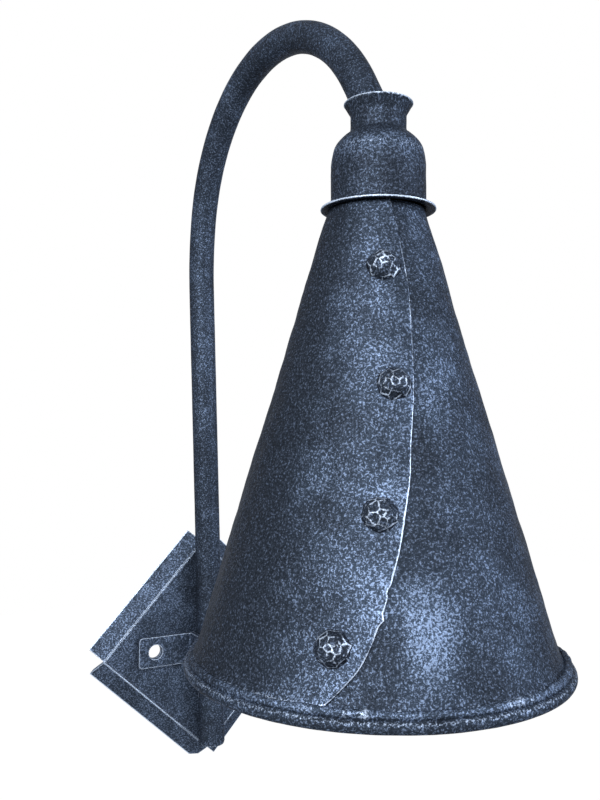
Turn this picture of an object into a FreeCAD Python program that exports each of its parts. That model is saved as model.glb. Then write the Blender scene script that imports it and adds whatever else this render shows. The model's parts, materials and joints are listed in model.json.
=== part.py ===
import FreeCAD, Part
import math
import os
from FreeCAD import Vector as V

# Wrought-iron gooseneck wall sconce with a torch-shaped shade.
# Frame of the STEP files: the origin is midway between the two screw holes, on the back of the
# plate's flat field, +Y goes into the wall and +Z is up. The wall is 5 mm behind the origin.
# The functions below draw with y = 0 on the wall, and save() moves each piece into that frame.
# The shade hangs REACH in front of the wall. Lengths are millimetres, angles degrees.

# ------------------------------------------------------------------ driving sizes
TOUCH = 0.1              # gap between fitted pieces of one assembly
SLIP = 0.25              # gap round pieces that slide or turn

# wall plate: a square pan set on its corner, four flaps folded back to the wall
FIELD_SIDE = 95.0        # side of the flat field
PAN_DEPTH = 7.0          # front face of the field to the wall
PAN_SHEET = 2.0
FLAP_RUN = 10.6          # how far a flap spreads outside the field
FOLD_WIDTH = 1.4         # scored line along each fold
FOLD_DEEP = 0.7
TIP_CLIP = 5.0           # clipped tip of the lowest flap

# fixing strap: flat bar bent over the arm, with a screw hole in each ear
STRAP_WIDTH = 19.0
STRAP_THICK = 3.0
STRAP_SPAN = 92.0
STRAP_CORNER = 2.5
STRAP_BEND = 2.4         # outside radius of the upper bends
STRAP_TILT = 2.4         # left ear higher, as fitted by hand
SCREW_SPACING = 70.0
SCREW_HOLE = 9.0

# gooseneck arm: one bent tube
TUBE_OD = 16.0
TUBE_WALL = 1.5
TUBE_FOOT = 61.5         # lower end below the plate's middle
STEM_TOP = 230.0         # height where the bend starts
BEND_1_R = 178.5
BEND_1_DEG = 14.5
BEND_2_R = 98.0
BEND_2_DEG = 149.0       # direction, from upright, where the big bend ends
BEND_3_R = 22.0          # last bend, down into the cup
TAIL = 5.0               # upright end of the tube inside the cup
REACH = 212.5            # wall to shade axis
ARM_YAW = 0.2            # the arm points this far to the left of square
SHADE_LEAN = 2.0         # the shade hangs this far out of upright, towards -X

# wiring hole and grommet
WIRING_DROP = 32.0       # below the plate's middle
WIRE_BORE = 6.0
GROMMET_WALL = 1.2
GROMMET_FLANGE = 14.0
GROMMET_LIP = 1.4
GROMMET_NOSE = 2.6       # how far it reaches into the arm

# earth stud inside the pan
EARTH_PLACE = 24.0       # right and up from the plate's middle
EARTH_STUD = 4.0
EARTH_STUD_LONG = 4.4
EARTH_WASHER = 9.0
EARTH_WASHER_THICK = 0.6
EARTH_NUT_AF = 7.0
EARTH_NUT_HIGH = 2.2

# thread parts on the end of the arm
THREAD = 10.0            # outside diameter of the hollow threaded nipple
NIPPLE_BORE = 7.0
NIPPLE_UP = 4.0          # how far it reaches into the arm
NIPPLE_IN = 9.0          # thread engaged in the holder's collar
BUSH_HEAD = 2.0
BUSH_HEAD_OD = 16.0
BRIDGE_THICK = 2.0
LOCKNUT_AF = 14.0
LOCKNUT_HIGH = 5.0

# spun cup over the lamp holder, outside sizes, heights from the end of the tube
CUP_SHEET = 1.0
LIP_R = 15.4
LIP_HIGH = 19.1
NECK_R = 12.4
NECK_TOP = 14.3
NECK_FOOT = 7.1
SHOULDER_R = 15.2        # where the straight slope of the shoulder turns round
SHOULDER_MID_R = 18.8
SHOULDER_HIGH = 4.4
SHOULDER_BULGE_R = 19.55
SHOULDER_BULGE_LOW = 0.9
CUP_R = 21.0
CUP_STRAIGHT_LOW = 8.5
CUP_FOOT_LOW = 26.2
CUP_FLANGE_R = 25.5
CUP_FLANGE_LOW = 28.4

# shade: one sheet rolled into a cone, its outer edge lapped over and riveted
SHADE_SHEET = 1.5
LAP_GAP = 0.3
SHADE_TOP_R = 22.0       # outside radius of the outer layer under the cup flange
SHADE_SLOPE = 0.297      # growth of radius per millimetre of height
SHADE_STRAIGHT = 188.0   # height of the straight cone
FLARE_R = 9.0            # the skirt turns outwards at this radius
FLARE_DEG = 32.0
LAP = 22.0               # width of the lap, measured round the cone
ROLL_FROM = 75.0         # the sheet steps in by one layer between these angles from its edge
ROLL_TO = 330.0
# the hand-cut lap edge: share of the meridian from the top, degrees from the front
LAP_EDGE = ((0.0, -22.6), (0.08, -16.9), (0.155, -14.3), (0.235, -14.1), (0.31, -15.4), (0.385, -17.0),
            (0.44, -18.4), (0.53, -21.3), (0.59, -22.9), (0.65, -25.2), (0.735, -28.7), (0.79, -31.5),
            (0.845, -34.5), (0.89, -37.3), (0.93, -40.4), (0.963, -44.6), (1.0, -50.0))
RIM_BAR = 5.2            # round bar under the skirt
RIM_OUT = 1.15            # its centre line outside the skirt's foot

# rivets: hammered heads
RIVET_SHANK = 8.0
RIVET_HEAD = 14.0
RIVET_HEAD_HIGH = 4.8
RIVET_SINK = 1.1         # the head closes down to the curved sheet by this much
RIVET_TAIL = 12.0
RIVET_TAIL_HIGH = 2.2
RIVET_TAIL_SINK = 0.6
RIVET_SHARES = (0.152, 0.405, 0.658, 0.898)  # along the meridian
RIVET_INSETS = (9.0, 8.0, 9.5, 13.0)         # in from the lap edge
FACET_RINGS = ((0.0, 1), (33.0, 6), (61.0, 9))   # tilt and count of hammered flats
FACET_DEPTH = 0.04       # share of the head's radius that a flat takes off

# lamp holder for a large screw cap
HOLDER_GAP = 1.0         # locknut to holder
COLLAR_R = 7.5
COLLAR_LONG = 11.0
DOME_HIGH = 17.4
HOLDER_R = 18.5
HOLDER_WALL = 2.0
SKIRT_LONG = 34.0
LEDGE_HIGH = 2.0
LEDGE_R = 14.6
CERAMIC_THICK = 9.0
CERAMIC_FLOOR = 1.5
PLUNGER_R = 3.3
NOSE_R = 2.3
PLUNGER_SHOULDER = 1.5
PLUNGER_NOSE_LONG = 4.8
CONTACT_TRAVEL = 2.0
SPRING_WIRE = 0.5
SPRING_TURNS = 3
SHELL_R = 13.35          # inside radius of the screw shell
SHELL_SHEET = 0.4
SHELL_FLANGE_R = 5.6
TERMINAL_R = 12.2        # terminals' distance from the axis
LUG_WIDE = 6.0
LUG_THICK = 0.8
TERMINAL_SCREW_R = 2.4
TERMINAL_SCREW_HIGH = 1.8
SHELL_RIVET_R = 1.2
SHELL_RIVET_HEAD_R = 1.7
SHELL_RIVET_HEAD = 0.6
SHELL_RIVET_AT = 7.8
SHELL_RIVET_DEGS = (90, 180, 270)
SKIRT_LIP_R = 15.0
TERMINAL_SHANK_R = 1.4
TERMINAL_SHANK = 5.0
LUG_EDGE = 2.2           # metal beyond the rivet in the neutral lug

# lamp: a 60 mm bulb with its screw cap
BULB_R = 30.0
BULB_LONG = 108.0
BULB_GLASS = 0.8
NECK_GLASS_R = 12.4
NECK_IN_CAP = 6.0
CAP_R = 13.1
CAP_SHEET = 0.4
CAP_LONG = 20.5
CAP_TOP_R = 11.0
EYELET_R = 4.5
EYELET_HIGH = 1.5
EYELET_PIN_R = 1.0
EYELET_PIN = 3.0
INSULATOR_HIGH = 4.0
STEM_R = 4.0
STEM_LONG = 26.0
FILAMENT_LEAD_R = 0.4
FILAMENT_LEAD_LONG = 14.0
FILAMENT_SPREAD = 9.0

# ------------------------------------------------------------------ worked-out sizes
FIELD_HALF = FIELD_SIDE / 2
FLAP_SLANT = math.hypot(FLAP_RUN, PAN_DEPTH)
TUBE_R = TUBE_OD / 2
TUBE_BORE_R = TUBE_R - TUBE_WALL
ARM_Y = -(PAN_DEPTH + TOUCH + TUBE_R)
BUSH_TOP = -TUBE_R * math.sin(math.radians(SHADE_LEAN)) - TOUCH
BRIDGE_TOP = BUSH_TOP - BUSH_HEAD
NUT_TOP = BRIDGE_TOP - BRIDGE_THICK
HOLDER_TOP = NUT_TOP - LOCKNUT_HIGH - HOLDER_GAP
DOME_TOP = HOLDER_TOP - COLLAR_LONG
SEAM = DOME_TOP - DOME_HIGH                # where holder cap and skirt meet
CERAMIC_LOW = SEAM - CERAMIC_THICK
SKIRT_LOW = SEAM - SKIRT_LONG
BORE_R = PLUNGER_R + SLIP
PLUNGER_TOP = CERAMIC_LOW + CERAMIC_FLOOR + CONTACT_TRAVEL + PLUNGER_SHOULDER
NOSE_TIP = PLUNGER_TOP - PLUNGER_SHOULDER - PLUNGER_NOSE_LONG
BULB_TOP = NOSE_TIP - TOUCH
INSULATOR_TOP = BULB_TOP - EYELET_HIGH
CAP_TOP = INSULATOR_TOP - INSULATOR_HIGH
CAP_LOW = CAP_TOP - CAP_LONG
BULB_LOW = BULB_TOP - BULB_LONG
SHADE_TOP = -CUP_FLANGE_LOW
LAP_PITCH = SHADE_SHEET + LAP_GAP
SHADE_ANGLE = math.degrees(math.atan(SHADE_SLOPE))
SLANT = SHADE_STRAIGHT / math.cos(math.radians(SHADE_ANGLE))
MERIDIAN = SLANT + FLARE_R * math.radians(FLARE_DEG)
GROMMET_STEP = 0.8                                   # its nose in the arm is this much thinner
GROMMET_R = WIRE_BORE / 2 + GROMMET_WALL + GROMMET_STEP
STRAP_HALF = TUBE_R + STRAP_WIDTH / 2 * math.tan(math.radians(STRAP_TILT)) + TOUCH


def sin(deg):
    return math.sin(math.radians(deg))


def cos(deg):
    return math.cos(math.radians(deg))


# ------------------------------------------------------------------ small helpers
def save(node, shape):
    """Move a piece from the wall plane to the back of the plate's field, write it and report it."""
    shape.translate(V(0, PAN_DEPTH - PAN_SHEET, 0))
    shape.exportStep("parts/%s.step" % node)
    print("%-20s solids %d valid %s volume %.1f" % (node, len(shape.Solids), shape.isValid(), shape.Volume))


def group(solids):
    """Identical pieces that share one node."""
    return Part.makeCompound(solids)


def cylinder(radius, low, high, x=0.0, y=0.0):
    return Part.makeCylinder(radius, high - low, V(x, y, low))


def ring(outer, inner, low, high):
    return cylinder(outer, low, high).cut(cylinder(inner, low - 1, high + 1))


def along_y(radius, y_from, y_to, x=0.0, z=0.0):
    """A cylinder that runs in Y."""
    return Part.makeCylinder(radius, abs(y_to - y_from), V(x, min(y_from, y_to), z), V(0, 1, 0))


def turned(edges):
    """A solid turned about the Z axis from a closed outline in the XZ plane."""
    return Part.Face(Part.Wire(edges)).revolve(V(0, 0, 0), V(0, 0, 1), 360)


def turned_points(points):
    corners = [V(r, 0, z) for r, z in points]
    return Part.Face(Part.makePolygon(corners + corners[:1])).revolve(V(0, 0, 0), V(0, 0, 1), 360)


def line(a, b):
    return Part.LineSegment(V(a[0], 0, a[1]), V(b[0], 0, b[1])).toShape()


def arc(a, middle, b):
    return Part.Arc(V(a[0], 0, a[1]), V(middle[0], 0, middle[1]), V(b[0], 0, b[1])).toShape()


def hexagon(across_flats, low, high):
    corner = across_flats / 2 / cos(30)
    points = [V(corner * cos(60 * k), corner * sin(60 * k), low) for k in range(7)]
    return Part.Face(Part.makePolygon(points)).extrude(V(0, 0, high - low))


def hang(shape):
    """Carry a piece from the shade's own frame (end of the tube, axis upright) to its place."""
    placed = shape.copy()
    placed.Placement = FreeCAD.Placement(ARM_END, FreeCAD.Rotation(V(0, 1, 0), SHADE_LEAN))
    return Part.Compound(placed.Solids) if len(placed.Solids) > 1 else placed.Solids[0]


# ------------------------------------------------------------------ arm
def arm_path():
    """Straight stem, two bends, a straight run and the last bend, all in the plane x = 0."""
    start = V(0, ARM_Y, -TUBE_FOOT)
    places = [start, V(0, ARM_Y, STEM_TOP)]
    edges = [Part.LineSegment(*places).toShape()]

    def bend(radius, from_deg, to_deg):
        here = places[-1]
        middle, end = [here + V(0, radius * (cos(deg) - cos(from_deg)), radius * (sin(deg) - sin(from_deg)))
                       for deg in ((from_deg + to_deg) / 2, to_deg)]
        places.append(end)
        edges.append(Part.Arc(here, middle, end).toShape())

    def run(length, deg):
        here = places[-1]
        places.append(here + V(0, -length * sin(deg), length * cos(deg)))
        edges.append(Part.LineSegment(here, places[-1]).toShape())

    bend(BEND_1_R, 0, BEND_1_DEG)
    bend(BEND_2_R, BEND_1_DEG, BEND_2_DEG)
    left = REACH + places[-1].y - BEND_3_R * (1 + cos(BEND_2_DEG))
    run(left / sin(BEND_2_DEG), BEND_2_DEG)
    bend(BEND_3_R, BEND_2_DEG, 180)
    run(TAIL, 180)
    return Part.Wire(edges), places[-1]


ARM_WIRE, STRAIGHT_END = arm_path()
YAW = FreeCAD.Rotation(V(0, 0, 1), -ARM_YAW)
STEM = V(0, ARM_Y, 0)
ARM_END = STEM + YAW.multVec(STRAIGHT_END - STEM)


def arm_tube():
    start = V(0, ARM_Y, -TUBE_FOOT)
    swept = []
    for radius in (TUBE_R, TUBE_BORE_R):
        section = Part.Wire(Part.makeCircle(radius, start, V(0, 0, 1)))
        swept.append(ARM_WIRE.makePipeShell([section], True, False))
    tube = swept[0].cut(swept[1])
    tube.rotate(STEM, V(0, 0, 1), -ARM_YAW)
    return tube.cut(along_y(GROMMET_R - GROMMET_STEP + TOUCH, 0, ARM_Y, z=-WIRING_DROP))


# ------------------------------------------------------------------ wall plate, strap, earth, grommet
def flap(side):
    """One flap: the field's sheet folded back to the wall along one side of the square."""
    slope = PAN_DEPTH / FLAP_RUN
    foot = FIELD_HALF + FLAP_RUN
    foot_wide = PAN_SHEET * FLAP_SLANT / PAN_DEPTH
    inner_top = foot - foot_wide - (PAN_DEPTH - PAN_SHEET) / slope
    outline = [(FIELD_HALF, PAN_DEPTH), (foot, 0), (foot - foot_wide, 0),
               (inner_top, PAN_DEPTH - PAN_SHEET), (inner_top, PAN_DEPTH)]
    points = [V(n, -w, -FIELD_HALF) for n, w in outline]
    solid = Part.Face(Part.makePolygon(points + points[:1])).extrude(V(0, 0, FIELD_SIDE))
    if side == 1:
        solid = solid.cut(tip_cutter(V(foot, 0, FIELD_HALF)))
    solid.rotate(V(0, 0, 0), V(0, 1, 0), 45 + 90 * side)
    return solid


def tip_cutter(corner):
    """A prism that clips the tip of a flap across its corner."""
    reach = 3 * PAN_DEPTH
    points = [corner + V(1, reach, 1), corner + V(-TIP_CLIP, reach, 1), corner + V(1, reach, -TIP_CLIP)]
    return Part.Face(Part.makePolygon(points + points[:1])).extrude(V(0, -2 * reach, 0))


def fold_groove(side):
    """The scored line on the front, along one fold."""
    top = -PAN_DEPTH - FOLD_DEEP
    points = [V(FIELD_HALF - FOLD_WIDTH, top, -FIELD_HALF),
              V(FIELD_HALF + FOLD_WIDTH, top, -FIELD_HALF),
              V(FIELD_HALF, -PAN_DEPTH + FOLD_DEEP, -FIELD_HALF)]
    solid = Part.Face(Part.makePolygon(points + points[:1])).extrude(V(0, 0, FIELD_SIDE))
    solid.rotate(V(0, 0, 0), V(0, 1, 0), 45 + 90 * side)
    return solid


def screw_places():
    half = SCREW_SPACING / 2
    return [(s * half * cos(STRAP_TILT), -s * half * sin(STRAP_TILT)) for s in (-1, 1)]


def wall_plate():
    field = Part.makeBox(FIELD_SIDE, PAN_SHEET, FIELD_SIDE, V(-FIELD_HALF, -PAN_DEPTH, -FIELD_HALF))
    field.rotate(V(0, 0, 0), V(0, 1, 0), 45)
    plate = field.multiFuse([flap(side) for side in range(4)]).removeSplitter()
    holes = [along_y(SCREW_HOLE / 2, 1, -PAN_DEPTH - 1, x, z) for x, z in screw_places()]
    holes.append(along_y(GROMMET_R + TOUCH, 1, -PAN_DEPTH - 1, 0, -WIRING_DROP))
    return plate.cut([fold_groove(side) for side in range(4)] + holes)


def edges_at(shape, places):
    """The upright edges of a bent bar that pass through the given XY places."""
    return [e for e in shape.Edges
            for x, y in places if math.hypot(e.CenterOfMass.x - x, e.CenterOfMass.y - y) < 0.01]


def fixing_strap():
    """Ear, riser, bridge over the arm, riser, ear: one bent flat bar."""
    base = -PAN_DEPTH
    out_half = STRAP_HALF + STRAP_THICK
    in_top = ARM_Y - TUBE_R - TOUCH
    end = STRAP_SPAN / 2
    outline = [(-end, base), (-STRAP_HALF, base), (-STRAP_HALF, in_top), (STRAP_HALF, in_top),
               (STRAP_HALF, base), (end, base), (end, base - STRAP_THICK), (out_half, base - STRAP_THICK),
               (out_half, in_top - STRAP_THICK), (-out_half, in_top - STRAP_THICK),
               (-out_half, base - STRAP_THICK), (-end, base - STRAP_THICK)]
    points = [V(x, y, -STRAP_WIDTH / 2) for x, y in outline]
    bar = Part.Face(Part.makePolygon(points + points[:1])).extrude(V(0, 0, STRAP_WIDTH))
    corners = [e for e in bar.Edges
               if abs(abs(e.CenterOfMass.x) - end) < 0.01 and e.Length < STRAP_THICK + 0.01]
    bar = bar.makeFillet(STRAP_CORNER, corners)
    bends = edges_at(bar, [(s * out_half, in_top - STRAP_THICK) for s in (-1, 1)])
    bar = bar.makeFillet(STRAP_BEND, bends)
    bends = edges_at(bar, [(s * out_half, base - STRAP_THICK) for s in (-1, 1)])
    bar = bar.makeFillet(STRAP_BEND / 2, bends)
    bar.rotate(V(0, 0, 0), V(0, 1, 0), STRAP_TILT)
    holes = [along_y(SCREW_HOLE / 2, 0, base - STRAP_THICK - 1, x, z) for x, z in screw_places()]
    return bar.cut(holes)


def cable_grommet():
    """Flange behind the plate, body in its hole, thinner nose in the arm's wall."""
    back = -(PAN_DEPTH - PAN_SHEET)
    flange = along_y(GROMMET_FLANGE / 2, back + GROMMET_LIP, back, z=-WIRING_DROP)
    body = along_y(GROMMET_R, back, -PAN_DEPTH, z=-WIRING_DROP)
    nose = along_y(GROMMET_R - GROMMET_STEP, back, -PAN_DEPTH - GROMMET_NOSE, z=-WIRING_DROP)
    grommet = flange.multiFuse([body, nose]).removeSplitter()
    return grommet.cut(along_y(WIRE_BORE / 2, 1, -99, z=-WIRING_DROP))


def on_stud(shape):
    """Carry a piece modelled along Z, with the pan's back at z = 0, to the earth stud."""
    placed = shape.copy()
    place = V(EARTH_PLACE, -(PAN_DEPTH - PAN_SHEET), EARTH_PLACE)
    placed.Placement = FreeCAD.Placement(place, FreeCAD.Rotation(V(1, 0, 0), -90))
    return placed


def earth_stud():
    return on_stud(cylinder(EARTH_STUD / 2, 0, EARTH_STUD_LONG))


def earth_washer():
    return on_stud(ring(EARTH_WASHER / 2, EARTH_STUD / 2 + TOUCH, 0, EARTH_WASHER_THICK))


def earth_nut():
    low = EARTH_WASHER_THICK
    nut = hexagon(EARTH_NUT_AF, low, low + EARTH_NUT_HIGH)
    return on_stud(nut.cut(cylinder(EARTH_STUD / 2 + TOUCH, -1, 9)))


# ------------------------------------------------------------------ cup, bush, bridge, nipple
def curve_through(points, first, last):
    """A smooth curve in the XZ plane through (r, z) points, with its end directions given."""
    curve = Part.BSplineCurve()
    curve.interpolate(Points=[V(r, 0, z) for r, z in points], InitialTangent=V(first[0], 0, first[1]),
                      FinalTangent=V(last[0], 0, last[1]))
    return curve


def twin(curve, sheet, count=24):
    """Points of the same curve moved square to itself towards the axis by the sheet's thickness."""
    points = []
    low, high = curve.FirstParameter, curve.LastParameter
    for k in range(count + 1):
        u = low + (high - low) * k / count
        here, way = curve.value(u), curve.tangent(u)[0]
        points.append((here.x + way.z * sheet, here.z - way.x * sheet))
    return points


def shoulder(inset):
    """Three arcs from the foot of the neck to the straight body, moved in by the sheet's thickness."""
    places = [(NECK_R, NECK_FOOT, 0.0), (NECK_R + 0.55, NECK_FOOT - 1.55, 25.0),
              (SHOULDER_R, SHOULDER_HIGH, 48.0), (SHOULDER_MID_R, SHOULDER_HIGH - 3.95, 47.0),
              (SHOULDER_BULGE_R + 0.75, -SHOULDER_BULGE_LOW - 3.2, 12.0),
              (CUP_R - 0.2, -(SHOULDER_BULGE_LOW + CUP_STRAIGHT_LOW + 3.2) / 2, 5.0),
              (CUP_R, -CUP_STRAIGHT_LOW, 0.0)]
    points = [(r - inset * cos(lean), z - inset * sin(lean)) for r, z, lean in places]
    return [arc(*points[k:k + 3]) for k in (0, 2, 4)], points


def shade_cup():
    """Spun sheet: trumpet lip, neck, shoulder, body and thin turned-out flange."""
    t = CUP_SHEET
    outer = shoulder(0.0)[0]
    inner = shoulder(t)[0]
    flange_top = -CUP_FLANGE_LOW + t
    foot_r = CUP_FLANGE_LOW - CUP_FOOT_LOW
    knee = (CUP_R, flange_top + foot_r)
    arc_mid = (CUP_R + foot_r * (1 - cos(45)), flange_top + foot_r * (1 - sin(45)))
    arc_in_mid = (CUP_R - t + (foot_r + t) * (1 - cos(45)), flange_top - t + (foot_r + t) * (1 - sin(45)))
    edges = outer + inner + [
        line((LIP_R, LIP_HIGH), (NECK_R, NECK_TOP)),
        line((NECK_R, NECK_TOP), (NECK_R, NECK_FOOT)),
        line((CUP_R, -CUP_STRAIGHT_LOW), knee),
        arc(knee, arc_mid, (CUP_R + foot_r, flange_top)),
        line((CUP_R + foot_r, flange_top), (CUP_FLANGE_R, flange_top)),
        line((CUP_FLANGE_R, flange_top), (CUP_FLANGE_R, flange_top - t)),
        line((CUP_FLANGE_R, flange_top - t), (CUP_R + foot_r, flange_top - t)),
        arc((CUP_R + foot_r, flange_top - t), arc_in_mid, (CUP_R - t, knee[1])),
        line((CUP_R - t, knee[1]), (CUP_R - t, -CUP_STRAIGHT_LOW)),
        line((NECK_R - t, NECK_FOOT), (NECK_R - t, NECK_TOP)),
        line((NECK_R - t, NECK_TOP), (LIP_R - t, LIP_HIGH)),
        line((LIP_R - t, LIP_HIGH), (LIP_R, LIP_HIGH)),
    ]
    return turned(Part.__sortEdges__(edges))


def cup_bridge():
    """Disc welded inside the cup, sized to the cup's inside where it sits."""
    last_arc = shoulder(CUP_SHEET)[0][1].Curve
    drop = last_arc.Center.z - BRIDGE_TOP
    inside = last_arc.Center.x + math.sqrt(last_arc.Radius ** 2 - drop ** 2)
    return ring(inside - TOUCH, THREAD / 2 + TOUCH, BRIDGE_TOP - BRIDGE_THICK, BRIDGE_TOP)


def tube_bush():
    """Threaded plug: the upright spigot fills the arm's end, the head follows the shade's lean."""
    head = hang(cylinder(BUSH_HEAD_OD / 2, BRIDGE_TOP, BUSH_TOP))
    spigot = cylinder(TUBE_BORE_R - TOUCH, -BUSH_HEAD / 2, TAIL)
    spigot.translate(ARM_END)
    bore = hang(cylinder(THREAD / 2 + TOUCH, BRIDGE_TOP - 1, TAIL + 1))
    return head.fuse(spigot).removeSplitter().cut(bore)


def entry_nipple():
    return ring(THREAD / 2, NIPPLE_BORE / 2, HOLDER_TOP - NIPPLE_IN, NIPPLE_UP)


def nipple_locknut():
    nut = hexagon(LOCKNUT_AF, NUT_TOP - LOCKNUT_HIGH, NUT_TOP)
    return nut.cut(cylinder(THREAD / 2 + TOUCH, NUT_TOP - LOCKNUT_HIGH - 1, NUT_TOP + 1))


# ------------------------------------------------------------------ rolled and lapped shade
def meridian(share):
    """Place, way down and outward normal on the outer layer, in the (r, z) plane."""
    run = share * MERIDIAN
    bend = 0.0 if run <= SLANT else math.degrees((run - SLANT) / FLARE_R)
    way = (sin(SHADE_ANGLE + bend), -cos(SHADE_ANGLE + bend))
    normal = (-way[1], way[0])
    straight = min(run, SLANT)
    r = SHADE_TOP_R + straight * sin(SHADE_ANGLE)
    z = SHADE_TOP - straight * cos(SHADE_ANGLE)
    if bend:
        r += FLARE_R * (cos(SHADE_ANGLE) - cos(SHADE_ANGLE + bend))
        z -= FLARE_R * (sin(SHADE_ANGLE + bend) - sin(SHADE_ANGLE))
    return (r, z), way, normal


def lap_edge(share):
    """Degrees from the front of the outer sheet's edge."""
    curve = Part.BSplineCurve()
    curve.interpolate([V(s, d / 100, 0) for s, d in LAP_EDGE])
    low, high = curve.FirstParameter, curve.LastParameter
    for _ in range(40):
        u = (low + high) / 2
        low, high = (u, high) if curve.value(u).x < share else (low, u)
    return curve.value(low).y * 100


def layer(turn):
    """0 on the outer layer, 1 on the inner one, eased between, at an angle from the sheet's edge."""
    x = min(max((turn - ROLL_FROM) / (ROLL_TO - ROLL_FROM), 0.0), 1.0)
    return x * x * (3 - 2 * x)


def on_sheet(share, turn, depth):
    """A point of the rolled sheet, `depth` under its outer face."""
    (r, z), way, normal = meridian(share)
    inward = depth + LAP_PITCH * layer(turn)
    square = max(0.0, 1 - share * MERIDIAN / SLANT) * SHADE_SLOPE
    r -= inward * (normal[0] + square * way[0])
    z -= inward * (normal[1] + square * way[1])
    theta = EDGE_AT[share] - turn
    return V(r * sin(theta), -r * cos(theta), z)


SHARES = [k / 18 * SLANT / MERIDIAN for k in range(19)]
SHARES += [(SLANT + k / 4 * (MERIDIAN - SLANT)) / MERIDIAN for k in range(1, 5)]
EDGE_AT = {share: lap_edge(share) for share in SHARES}
TURNS = 72


def shade_cone(grow=0.0):
    """The rolled sheet. `grow` thickens it, to give fitted pieces their clearance."""
    faces, rims = [], []
    for depth in (-grow, SHADE_SHEET + grow):
        grid = []
        for share in SHARES:
            (r, z), way, normal = meridian(share)
            whole = 360 + math.degrees(LAP / r)
            grid.append([on_sheet(share, whole * k / TURNS, depth) for k in range(TURNS + 1)])
        surface = Part.BSplineSurface()
        surface.interpolate(grid)
        faces.append(surface.toShape())
        low_u, high_u, low_v, high_v = surface.bounds()
        rims.append([surface.uIso(low_u).toShape(), surface.uIso(high_u).toShape(),
                     surface.vIso(low_v).toShape(), surface.vIso(high_v).toShape()])
    faces += [Part.makeRuledSurface(a, b) for a, b in zip(*rims)]
    shell = Part.makeShell(faces)
    shell.sewShape()
    solid = Part.makeSolid(shell)
    if solid.Volume < 0:
        solid.reverse()
    return solid


def rivet_places():
    """Middle of each rivet on the outer face, and the outward direction there."""
    places = []
    for share, inset in zip(RIVET_SHARES, RIVET_INSETS):
        (r, z), way, normal = meridian(share)
        theta = lap_edge(share) - math.degrees(inset / r)
        places.append((V(r * sin(theta), -r * cos(theta), z),
                       V(normal[0] * sin(theta), -normal[0] * cos(theta), normal[1])))
    return places


def stand(shape, place, way):
    placed = shape.copy()
    placed.Placement = FreeCAD.Placement(place, FreeCAD.Rotation(V(0, 0, 1), way))
    return placed


def rivet_blank():
    """One rivet along Z, sheet's outer face at z = 0: hammered head, shank and tail."""
    ball_r = (RIVET_HEAD ** 2 / 4 + RIVET_HEAD_HIGH ** 2) / (2 * RIVET_HEAD_HIGH)
    centre = RIVET_HEAD_HIGH - ball_r
    head = Part.makeSphere(ball_r, V(0, 0, centre)).common(cylinder(RIVET_HEAD / 2, 0, RIVET_HEAD_HIGH + 1))
    flats = []
    for tilt, count in FACET_RINGS:
        for k in range(count):
            block = Part.makeBox(9, 9, 9, V(-4.5, -4.5, ball_r * (1 - FACET_DEPTH)))
            block.rotate(V(0, 0, 0), V(1, 0, 0), tilt)
            block.rotate(V(0, 0, 0), V(0, 0, 1), 360 * (k + tilt / 90) / count)
            block.translate(V(0, 0, centre))
            flats.append(block)
    head = head.cut(flats).fuse(cylinder(RIVET_HEAD / 2, -RIVET_SINK, 0))
    inner = -(2 * SHADE_SHEET + LAP_GAP)
    tail_r = RIVET_TAIL / 2
    tail_ball = (tail_r ** 2 + RIVET_TAIL_HIGH ** 2) / (2 * RIVET_TAIL_HIGH)
    cap = Part.makeSphere(tail_ball, V(0, 0, inner - RIVET_TAIL_HIGH + tail_ball))
    tail = cap.common(cylinder(tail_r, inner - RIVET_TAIL_HIGH - 1, inner))
    return head, tail.fuse(cylinder(tail_r, inner, inner + RIVET_TAIL_SINK))


def lap_rivets():
    """Four rivets; head and tail are closed down on the curved sheet."""
    head, tail = rivet_blank()
    grown = shade_cone(TOUCH)
    shank = cylinder(RIVET_SHANK / 2, -(2 * SHADE_SHEET + LAP_GAP) - 0.5, 0.5)
    rivets = []
    for place, way in rivet_places():
        ends = [stand(end, place, way).cut(grown) for end in (head, tail)]
        ends = [max(end.Solids, key=lambda s: s.Volume) for end in ends]
        rivets.append(stand(shank, place, way).multiFuse(ends).removeSplitter().Solids[0])
    return group(rivets)


def riveted_cone():
    drills = [stand(cylinder(RIVET_SHANK / 2 + TOUCH, -9, 9), place, way) for place, way in rivet_places()]
    return shade_cone().cut(drills)


def rim_ring():
    """Round bar ring, set so that the skirt's foot rests on it."""
    (r, z), way, normal = meridian(1.0)
    bar_r = r - SHADE_SHEET / 2 + RIM_OUT
    clear = RIM_BAR / 2 + TOUCH
    heights = []
    for depth in (0, SHADE_SHEET, LAP_PITCH, LAP_PITCH + SHADE_SHEET):
        foot_r, foot_z = r - depth * normal[0], z - depth * normal[1]
        if abs(foot_r - bar_r) < clear:
            heights.append(foot_z - math.sqrt(clear ** 2 - (foot_r - bar_r) ** 2))
    return Part.makeTorus(bar_r, RIM_BAR / 2, V(0, 0, min(heights)))


# ------------------------------------------------------------------ lamp holder
def ellipse_quarter(a, b, r_start, z_low, count=8):
    """Points from the top of a dome, at r_start, down to its widest place."""
    return [(r_start + a * sin(90 * k / count), z_low + b * cos(90 * k / count)) for k in range(count + 1)]


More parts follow.
